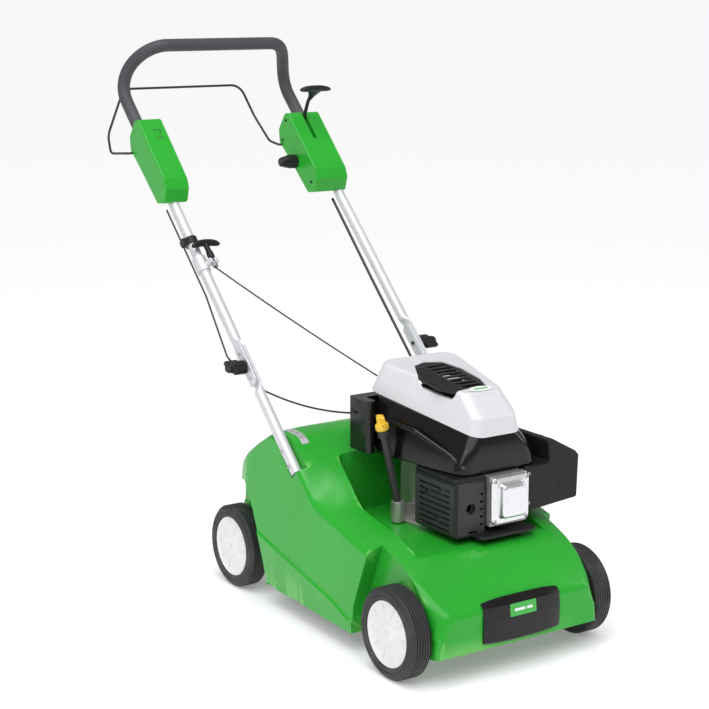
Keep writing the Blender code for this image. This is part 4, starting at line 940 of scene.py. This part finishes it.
def build_tubes():
    loop = sweep("handle_loop", handle_path(FOLD_AT + 0.075), TUBE_R, 32)
    settle(loop, "silver_paint", "upper_handle", "upper_tube")
    foam = sweep("grip_foam", handle_path(SLEEVE_FROM), GRIP_R, 32, bore=TUBE_R + 0.0003)
    settle(foam, "grip_foam", "upper_handle", "grip_sleeve")
    for side in (-1, 1):
        tag = side_name(side)
        path = [Vector((side * TUBE_X, *on_tube(distance))) for distance in (0, FOLD_AT - 0.075)]
        settle(sweep(f"leg_{tag}", path, TUBE_R, 32), "silver_paint", "chassis", f"lower_tube_{tag}")
        leg_end = tongue(f"leg_tongue_{tag}", side, 0.2270, 0.2335, FOLD_AT - 0.058, FOLD_AT + TONGUE)
        settle(leg_end, "silver_paint", "chassis")
        leg_neck = neck(f"leg_neck_{tag}", side, 0.23025, FOLD_AT - 0.076, FOLD_AT - 0.052)
        settle(leg_neck, "silver_paint", "chassis")
        loop_end = tongue(f"loop_tongue_{tag}", side, 0.2345, 0.2410, FOLD_AT - TONGUE, FOLD_AT + 0.058)
        settle(loop_end, "silver_paint", "upper_handle")
        loop_neck = neck(f"loop_neck_{tag}", side, 0.23775, FOLD_AT + 0.076, FOLD_AT + 0.052)
        settle(loop_neck, "silver_paint", "upper_handle")
        for distance in (-0.034, 0.034):
            spot = Vector((side * 0.2410, *on_tube(FOLD_AT + distance)))
            screw(f"tongue_rivet_{tag}_{distance * 1000:.0f}", spot, (side, 0, 0), "upper_handle", 0.0040)


def build_clamp_knob(side):
    """Winged nut on a screw through both flattened tube ends."""
    tag = side_name(side)
    profile = [(0, 0), (0.0042, 0), (0.0042, 0.0185), (0.0120, 0.0185), (0.0145, 0.022), (0.0145, 0.032),
               (0.0125, 0.050), (0.0110, 0.062), (0.0080, 0.0665), (0, 0.067)]
    knob = lathe(f"winged_nut_{tag}", profile, (side * 0.2230, *FOLD), (side, 0, 0), 40, closed=False)
    wings = rounded_flat([(-0.029, -0.009), (-0.020, -0.013), (0.012, -0.006), (0.029, 0.002), (0.029, 0.009),
                          (0.020, 0.013), (-0.012, 0.006), (-0.029, -0.002)], 0.004, 5)
    outline = [FOLD + Vector(p) for p in wings]
    vane = soften(prism("vane", outline, "X", side * 0.2500, side * 0.2815), 0.0030, 4)
    join(knob, vane)
    settle(soften(knob, 0.0012, 3, 50), "black_plastic", f"clamp_knob_{tag}", f"clamp_knob_{tag}")


BOX_OUTLINE = [(0.586, 0.880), (0.576, 0.915), (0.585, 0.938), (0.651, 1.006), (0.714, 1.070), (0.732, 1.066),
               (0.760, 1.026), (0.756, 0.992), (0.707, 0.952), (0.622, 0.876)]
BOX_SCREWS = ((0.604, 0.904), (0.722, 1.050), (0.738, 1.000))     # y and z on a box's inner face
BOX_TOP_LOW, BOX_TOP_HIGH = Vector((0, *BOX_OUTLINE[2])), Vector((0, *BOX_OUTLINE[4]))
BOX_TOP_DIR = (BOX_TOP_HIGH - BOX_TOP_LOW).normalized()
BOX_TOP_OUT = Vector((0, -BOX_TOP_DIR.z, BOX_TOP_DIR.y))
PICTOGRAM_BARS = (                # x, distance up the face, half its width, half its length
    (-0.2200, 0.150, 0.0060, 0.0008), (-0.2200, 0.143, 0.0010, 0.0060), (-0.2320, 0.150, 0.0045, 0.0012),
    (-0.2270, 0.128, 0.0100, 0.0009), (-0.2270, 0.122, 0.0070, 0.0009),
)


def on_box(x, distance, lift=0.0):
    """Point on the sloping front face of a control box, a distance up from its lower edge."""
    return Vector((x, 0, 0)) + BOX_TOP_LOW + BOX_TOP_DIR * distance + BOX_TOP_OUT * lift


def flat_mark(name, x, distance, half_x, half_along):
    """Small printed mark on the sloping face of a control box."""
    corners = [(-half_x, -half_along), (half_x, -half_along), (half_x, half_along), (-half_x, half_along)]
    layers = [[on_box(x + a, distance + b, lift) for a, b in corners] for lift in (-0.0002, 0.00025)]
    settle(skin(name, layers), "dark_print", "upper_handle")


def lever_slot():
    """Tools that open the left box for the height lever's swing and its hub."""
    pivot = Vector((LEVER_Y, LEVER_Z))
    fan = [pivot + 0.012 * Vector((0.8, -0.6)), pivot + 0.150 * Vector((0.06, 1.0)),
           pivot + 0.150 * Vector((-1.00, 0.42)), pivot + 0.012 * Vector((-0.9, -0.5))]
    return [prism("lever_slot", fan, "X", 0.1980, 0.2090),
            rod("hub_seat", (0.1980, *pivot), (0.2090, *pivot), 0.0095)]


def build_control_box(side, x_low, x_high, inner_face, *extra_tools):
    tag = side_name(side)
    shell = prism(f"box_{tag}", rounded_flat(BOX_OUTLINE, 0.010), "X", x_low, x_high)
    soften(shell, 0.0035, 4, 50)
    low, high = (side * TUBE_X, *on_tube(0.60)), (side * TUBE_X, *on_tube(1.10))
    cut(shell, rod("tube_bore", low, high, TUBE_R + 0.0012, 32), *extra_tools)
    settle(soften(shell, 0.0006, 2, 40), "green_plastic", "upper_handle", f"control_box_{tag}")
    for y, z in BOX_SCREWS:
        screw(f"box_screw_{tag}_{y * 1000:.0f}", (inner_face, y, z), (-side, 0, 0), "upper_handle", 0.0036,
              "black_plastic")


def build_control_boxes():
    build_control_box(-1, -0.266, -0.202, -0.202)
    build_control_box(1, 0.158, 0.250, 0.158, *lever_slot())
    for k, bar in enumerate(PICTOGRAM_BARS):
        flat_mark(f"pictogram_{k}", *bar)
    for k in range(5):
        flat_mark(f"scale_tick_{k}", 0.2160, 0.045 + 0.022 * k, 0.0030, 0.0006)
    flat_mark("arrow_stem", 0.2290, 0.085, 0.0006, 0.0060)
    flat_mark("arrow_head", 0.2290, 0.077, 0.0030, 0.0010)


def build_height_lever():
    """Bent lever with a flared neck and an oval cross bar."""
    x = 0.2035
    bends = [(x, LEVER_Y, LEVER_Z), (x, 0.7140, 1.0450), (x, 0.6880, 1.1000), (x, 0.6560, 1.1300)]
    stem = sweep("lever_stem", rounded(bends, 0.030, 8), 0.0045)
    hub = rod("lever_hub", (x - 0.0045, LEVER_Y, LEVER_Z), (x + 0.0045, LEVER_Y, LEVER_Z), 0.0080, 32)
    base, top = Vector((x, 0.6830, 1.1040)), Vector((x, 0.6545, 1.1310))
    out = (top - base).normalized().cross(Vector((1, 0, 0)))
    flare = []
    for k in range(9):
        t = k / 8
        wide, deep = 0.0050 + 0.0210 * t ** 1.7, 0.0050 + 0.0040 * t
        flare.append(oval(base.lerp(top, t), Vector((wide, 0, 0)), out * deep))
    bar = []
    for k in range(25):
        u = -1 + 2 * k / 24
        size = max(0.02, (1 - abs(u) ** 3.2) ** 0.5)
        middle = Vector((x + 0.0460 * u, 0.6535, 1.1325 - 0.0035 * u * u))
        bar.append(oval(middle, Vector((0, 0.0125 * size, 0)), Vector((0, 0, 0.0078 * size))))
    join(stem, hub, skin("flare", flare), skin("bar", bar))
    settle(stem, "black_plastic", "height_lever", "height_lever", angle=60)


def build_depth_knob():
    seat = Vector((0.158, 0.677, 0.950))
    profile = [(0, -0.0140), (0.0040, -0.0140), (0.0040, 0.0005), (0.0150, 0.0005), (0.0170, 0.0025),
               (0.0175, 0.006), (0.0170, 0.022), (0.0140, 0.034), (0.0120, 0.040), (0.0115, 0.0445),
               (0.0095, 0.0465), (0, 0.0470)]
    knob = lathe("depth_dial", profile, seat, (-1, 0, 0), 48, closed=False)
    flutes = []
    for k in range(12):
        angle = 2 * math.pi * k / 12
        spoke = Vector((0, math.cos(angle), math.sin(angle)))
        start, end = Vector((-0.002, 0, 0)) + spoke * 0.0192, Vector((-0.053, 0, 0)) + spoke * 0.0165
        flutes.append(rod(f"flute_{k}", seat + start, seat + end, 0.0030, 12))
    cut(knob, *flutes)
    settle(soften(knob, 0.0004, 2, 40), "black_plastic", "depth_knob", "depth_knob")


def build_stop_bail():
    corners = [
        (-0.2580, BAIL_Y, BAIL_Z), (-0.2790, BAIL_Y, BAIL_Z), (-0.2800, 0.835, 0.980),
        (-0.2620, 0.8857, 1.020), (-0.2160, 0.8857, 1.133), (0.1180, 0.8857, 1.133),
        (0.1450, 0.860, 1.055), (0.1490, 0.790, 0.994), (0.1500, BAIL_Y, BAIL_Z), (0.1660, BAIL_Y, BAIL_Z),
    ]
    rail = sweep("bail_rod", rounded(corners, 0.036), 0.0030, 16)
    settle(rail, "cable_sheath", "stop_bail", "stop_bail")


# --- starter rope and cables ----------------------------------------------------------------------------
def ring_on_tube(name, start, end, radius):
    """Ring round the right handle tube between two distances up it."""
    path = [Vector((-TUBE_X, *on_tube(distance))) for distance in (start, end)]
    return sweep(name, path, radius, 40, bore=TUBE_R + 0.0003)


def build_rope_guide():
    """Clamp plate with a coiled wire eye, and the cable clip above it."""
    clamp = ring_on_tube("eye_clamp", 0.560, 0.600, 0.0160)
    join(clamp, prism("eye_arm", patch(0.566, 0.578, 0.014, 0.030), "X", -0.2300, -0.2050))
    cut(clamp, rod("eye", EYE - ALONG * 0.02, EYE + ALONG * 0.02, 0.0045, 32))
    settle(soften(clamp, 0.0006, 2), "silver_paint", "upper_handle", "rope_guide")
    coil = []
    for k in range(73):
        angle = 2 * math.pi * k / 18
        spoke = Vector((1, 0, 0)) * math.cos(angle) + ACROSS * math.sin(angle)
        coil.append(EYE - ALONG * (0.0070 + 0.0110 * k / 72) + spoke * 0.0062)
    settle(sweep("eye_coil", coil, 0.0011, 10), "steel", "upper_handle")
    ring = ring_on_tube("cable_clip", 0.640, 0.658, 0.0165)
    lug = prism("clip_lug", rounded_flat(patch(0.640, 0.658, -0.010, 0.010), 0.004), "X", -0.2590, -0.2490)
    settle(soften(join(ring, lug), 0.0012, 3), "black_plastic", "upper_handle")


def build_starter_grip():
    profile = [(0, 0.0), (0.0070, 0.0), (0.0085, 0.002), (0.0087, 0.012), (0.0066, 0.022), (0.0066, 0.040),
               (0.0085, 0.046), (0, 0.047)]
    grip = lathe("pull_stem", profile, GRIP_SEAT, ALONG, 32, closed=False)
    middle = GRIP_SEAT + ALONG * 0.046
    bar = []
    for k in range(21):
        u = -1 + 2 * k / 20
        size = max(0.05, (1 - abs(u) ** 4) ** 0.5)
        centre = middle + Vector((0.0380 * u, 0, 0)) - ALONG * 0.0075 * u * u
        bar.append(oval(centre, ALONG * 0.0080 * size, ACROSS * 0.0092 * size, 28))
    join(grip, skin("pull_bar", bar))
    settle(grip, "black_plastic", "starter_grip", "starter_grip", angle=60)


def hanging(start, end, sag, steps=16):
    """Path between two points that hangs below the straight line."""
    start, end = Vector(start), Vector(end)
    drop = Vector((0, 0, -4 * sag))
    return [start.lerp(end, k / steps) + drop * (k / steps) * (1 - k / steps) for k in range(steps + 1)]


def bridge(name, path, radius, look, bodies, start, end, *nodes, sides=12):
    """Cable between two bodies, swept along its path and left fixed in place."""
    dense = []
    for a, b in zip(path, path[1:]):
        parts = max(1, round((b - a).length / 0.012))
        dense += [a.lerp(b, k / parts) for k in range(parts)]
    cable = sweep(name, dense + [path[-1]], radius, sides)
    shift = Vector((0, MID_Y, 0))
    cable.data.transform(Matrix.Translation(shift))
    paint(shade(cable, 70), look)
    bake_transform(cable)
    if nodes:
        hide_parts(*nodes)


CABLE_TOP = 0.757                 # distance up the tubes to the cables' upper ends


def build_ropes():
    rope = [GRIP_SEAT - ALONG * 0.0005, EYE - ALONG * 0.010] + hanging(EYE - ALONG * 0.022, ROPE_END, 0.004)
    bridge("pull_rope", rope, 0.0018, "rope", ("chassis", "upper_handle"), ROPE_END, EYE - ALONG * 0.03,
           "starter_rope")
    tail = [GRIP_SEAT - ALONG * 0.0020, GRIP_SEAT + ALONG * 0.0040]
    bridge("rope_tail", tail, 0.0016, "rope", ("upper_handle", "starter_grip"), tail[0], tail[1])
    hinge_low, hinge_high = Vector((0, *on_tube(FOLD_AT - 0.09))), Vector((0, *on_tube(FOLD_AT + 0.06)))
    stop = [(-0.2530, *on_tube(CABLE_TOP, -0.010)), (-0.2530, *on_tube(0.50, -0.009)),
            (-0.2530, *on_tube(0.34, -0.034)), (-0.2150, *on_tube(0.275, -0.034))]
    stop_path = rounded(stop, 0.030) + hanging((-0.2050, 0.232, 0.486), (-0.1145, 0.000, 0.470), 0.012)
    bridge("stop_wire", stop_path, 0.0022, "cable_sheath", ("chassis", "upper_handle"), hinge_low, hinge_high,
           "stop_cable")
    lift = [(0.2200, *on_tube(CABLE_TOP, -0.016)), (0.2140, *on_tube(0.50, -0.014)),
            (0.2140, *on_tube(0.24, -0.016)), (0.2060, 0.175, 0.446), (0.2000, 0.150, 0.4185)]
    bridge("lift_wire", rounded(lift, 0.040), 0.0034, "cable_sheath", ("chassis", "upper_handle"), hinge_low,
           hinge_high, "lift_cable", sides=16)


def build_rear_flap():
    roll = rod("flap_roll", (-0.172, FLAP_Y, FLAP_Z), (0.172, FLAP_Y, FLAP_Z), 0.0050)
    pins = rod("flap_pins", (-0.1865, FLAP_Y, FLAP_Z), (0.1865, FLAP_Y, FLAP_Z), 0.0025)
    plate = prism("flap_plate", [(FLAP_Y - 0.0035, FLAP_Z), (FLAP_Y + 0.0005, FLAP_Z), (0.3770, 0.130),
                                 (0.3640, 0.075), (0.3605, 0.075), (0.3735, 0.130)], "X", -0.172, 0.172)
    join(roll, pins, plate)
    settle(soften(roll, 0.0008, 2), "green_plastic", "rear_flap", "rear_flap")
    outline = [(0.3600, 0.232), (0.3635, 0.232), (0.3795, 0.132), (0.3755, 0.132)]
    for k in range(5):
        x = -0.120 + 0.060 * k
        rib = prism(f"flap_rib_{k}", outline, "X", x - 0.0015, x + 0.0015)
        settle(rib, "green_plastic", "rear_flap")


# --- pieces that keep their CAD shape -------------------------------------------------------------------
def dress_frame():
    dress("steel", "front_axle", "rear_axle", "blade_shaft", "blade_pulley", "drive_pulley", "crankshaft",
          "blade_bearing_left", "blade_bearing_right")
    dress("blade_steel", *(f"blade_{k}" for k in range(1, 8)))
    dress("cast_aluminium", "crankcase", "cylinder", "flywheel")
    dress("frame_paint", "chassis_frame", "muffler")
    dress("black_plastic", "recoil_pulley")
    dress("belt_rubber", "v_belt")


# --- stage ----------------------------------------------------------------------------------------------
CAMERA_PLACE = Vector((-2.1497, -3.2497, 1.3766))
CAMERA_AZIMUTH, CAMERA_ELEVATION = math.radians(-33.843), math.radians(11.993)
CAMERA_LENS = 87.33


FLOOR_HALF = 300                  # far enough for the floor to fill the photo's view
CLIP_END = 1000
WHITE = (1, 1, 1, 1)


def build_floor():
    builder = bmesh.new()
    bmesh.ops.create_grid(builder, x_segments=1, y_segments=1, size=FLOOR_HALF)
    floor = keep("floor", builder)
    pale = surface("pale_floor", (0.92, 0.92, 0.93), 0.60, shade=0.004, gloss=0.03)
    shader = pale.node_tree.nodes["Principled BSDF"]
    shader.inputs["Emission Color"].default_value = WHITE
    shader.inputs["Emission Strength"].default_value = 0.22
    floor.data.materials.append(pale)


def hang_lamp(lamp, place, aim):
    holder = bpy.data.objects.new(lamp.name, lamp)
    holder.location = place
    holder.rotation_euler = aim.to_track_quat("-Z", "Y").to_euler()
    bpy.context.scene.collection.objects.link(holder)


def build_light(name, place, target, size, power):
    lamp = bpy.data.lights.new(name, "AREA")
    lamp.shape = "RECTANGLE"
    lamp.size, lamp.size_y = size
    lamp.energy = power
    hang_lamp(lamp, place, Vector(target) - Vector(place))


def build_sun():
    """Very soft overhead light that falls evenly on the whole floor."""
    lamp = bpy.data.lights.new("overhead_sky", "SUN")
    lamp.energy = 1.75
    lamp.angle = math.radians(60)
    hang_lamp(lamp, (0, 0, 0), Vector((0.38, 0.42, -1.0)))


def build_world():
    world = bpy.data.worlds.new("studio")
    world.use_nodes = True
    background = world.node_tree.nodes["Background"]
    background.inputs["Color"].default_value = WHITE
    background.inputs["Strength"].default_value = 0.36
    bpy.context.scene.world = world
    bpy.context.scene.view_settings.view_transform = "Standard"


def build_camera():
    data = bpy.data.cameras.new("camera")
    data.lens = CAMERA_LENS
    data.clip_end = CLIP_END
    camera = bpy.data.objects.new("camera", data)
    back = Vector((math.sin(CAMERA_AZIMUTH) * math.cos(CAMERA_ELEVATION),
                   -math.cos(CAMERA_AZIMUTH) * math.cos(CAMERA_ELEVATION), math.sin(CAMERA_ELEVATION)))
    camera.location = CAMERA_PLACE
    camera.rotation_euler = (-back).to_track_quat("-Z", "Y").to_euler()
    bpy.context.scene.collection.objects.link(camera)
    bpy.context.scene.camera = camera


def build_stage():
    build_floor()
    build_sun()
    build_light("top_softbox", (-0.6, -0.2, 3.4), (0, 0, 0.3), (1.6, 2.4), 26)
    build_light("front_softbox", (-3.4, -1.8, 2.4), (0, 0, 0.4), (1.2, 2.0), 20)
    build_light("side_strip", (3.2, -1.6, 1.8), (0, 0, 0.5), (0.6, 2.0), 16)
    build_world()
    build_camera()


# --- build ----------------------------------------------------------------------------------------------
housing_surface = build_housing()
build_housing_details(housing_surface)
build_nose()
for wheel_side in (-1, 1):
    build_wheel(f"front_{side_name(wheel_side)}", wheel_side, -AXLE_Y, FRONT_FACE_X)
    build_wheel(f"rear_{side_name(wheel_side)}", wheel_side, AXLE_Y, REAR_FACE_X)
    build_clamp_knob(wheel_side)
build_starter_cover()
build_grille()
build_cover_label()
build_shroud()
build_tank()
build_muffler_guard()
build_valve_cover()
build_air_filter()
build_oil_filler()
build_tubes()
build_control_boxes()
build_height_lever()
build_depth_knob()
build_stop_bail()
build_rope_guide()
build_starter_grip()
build_ropes()
build_rear_flap()
dress_frame()
build_stage()
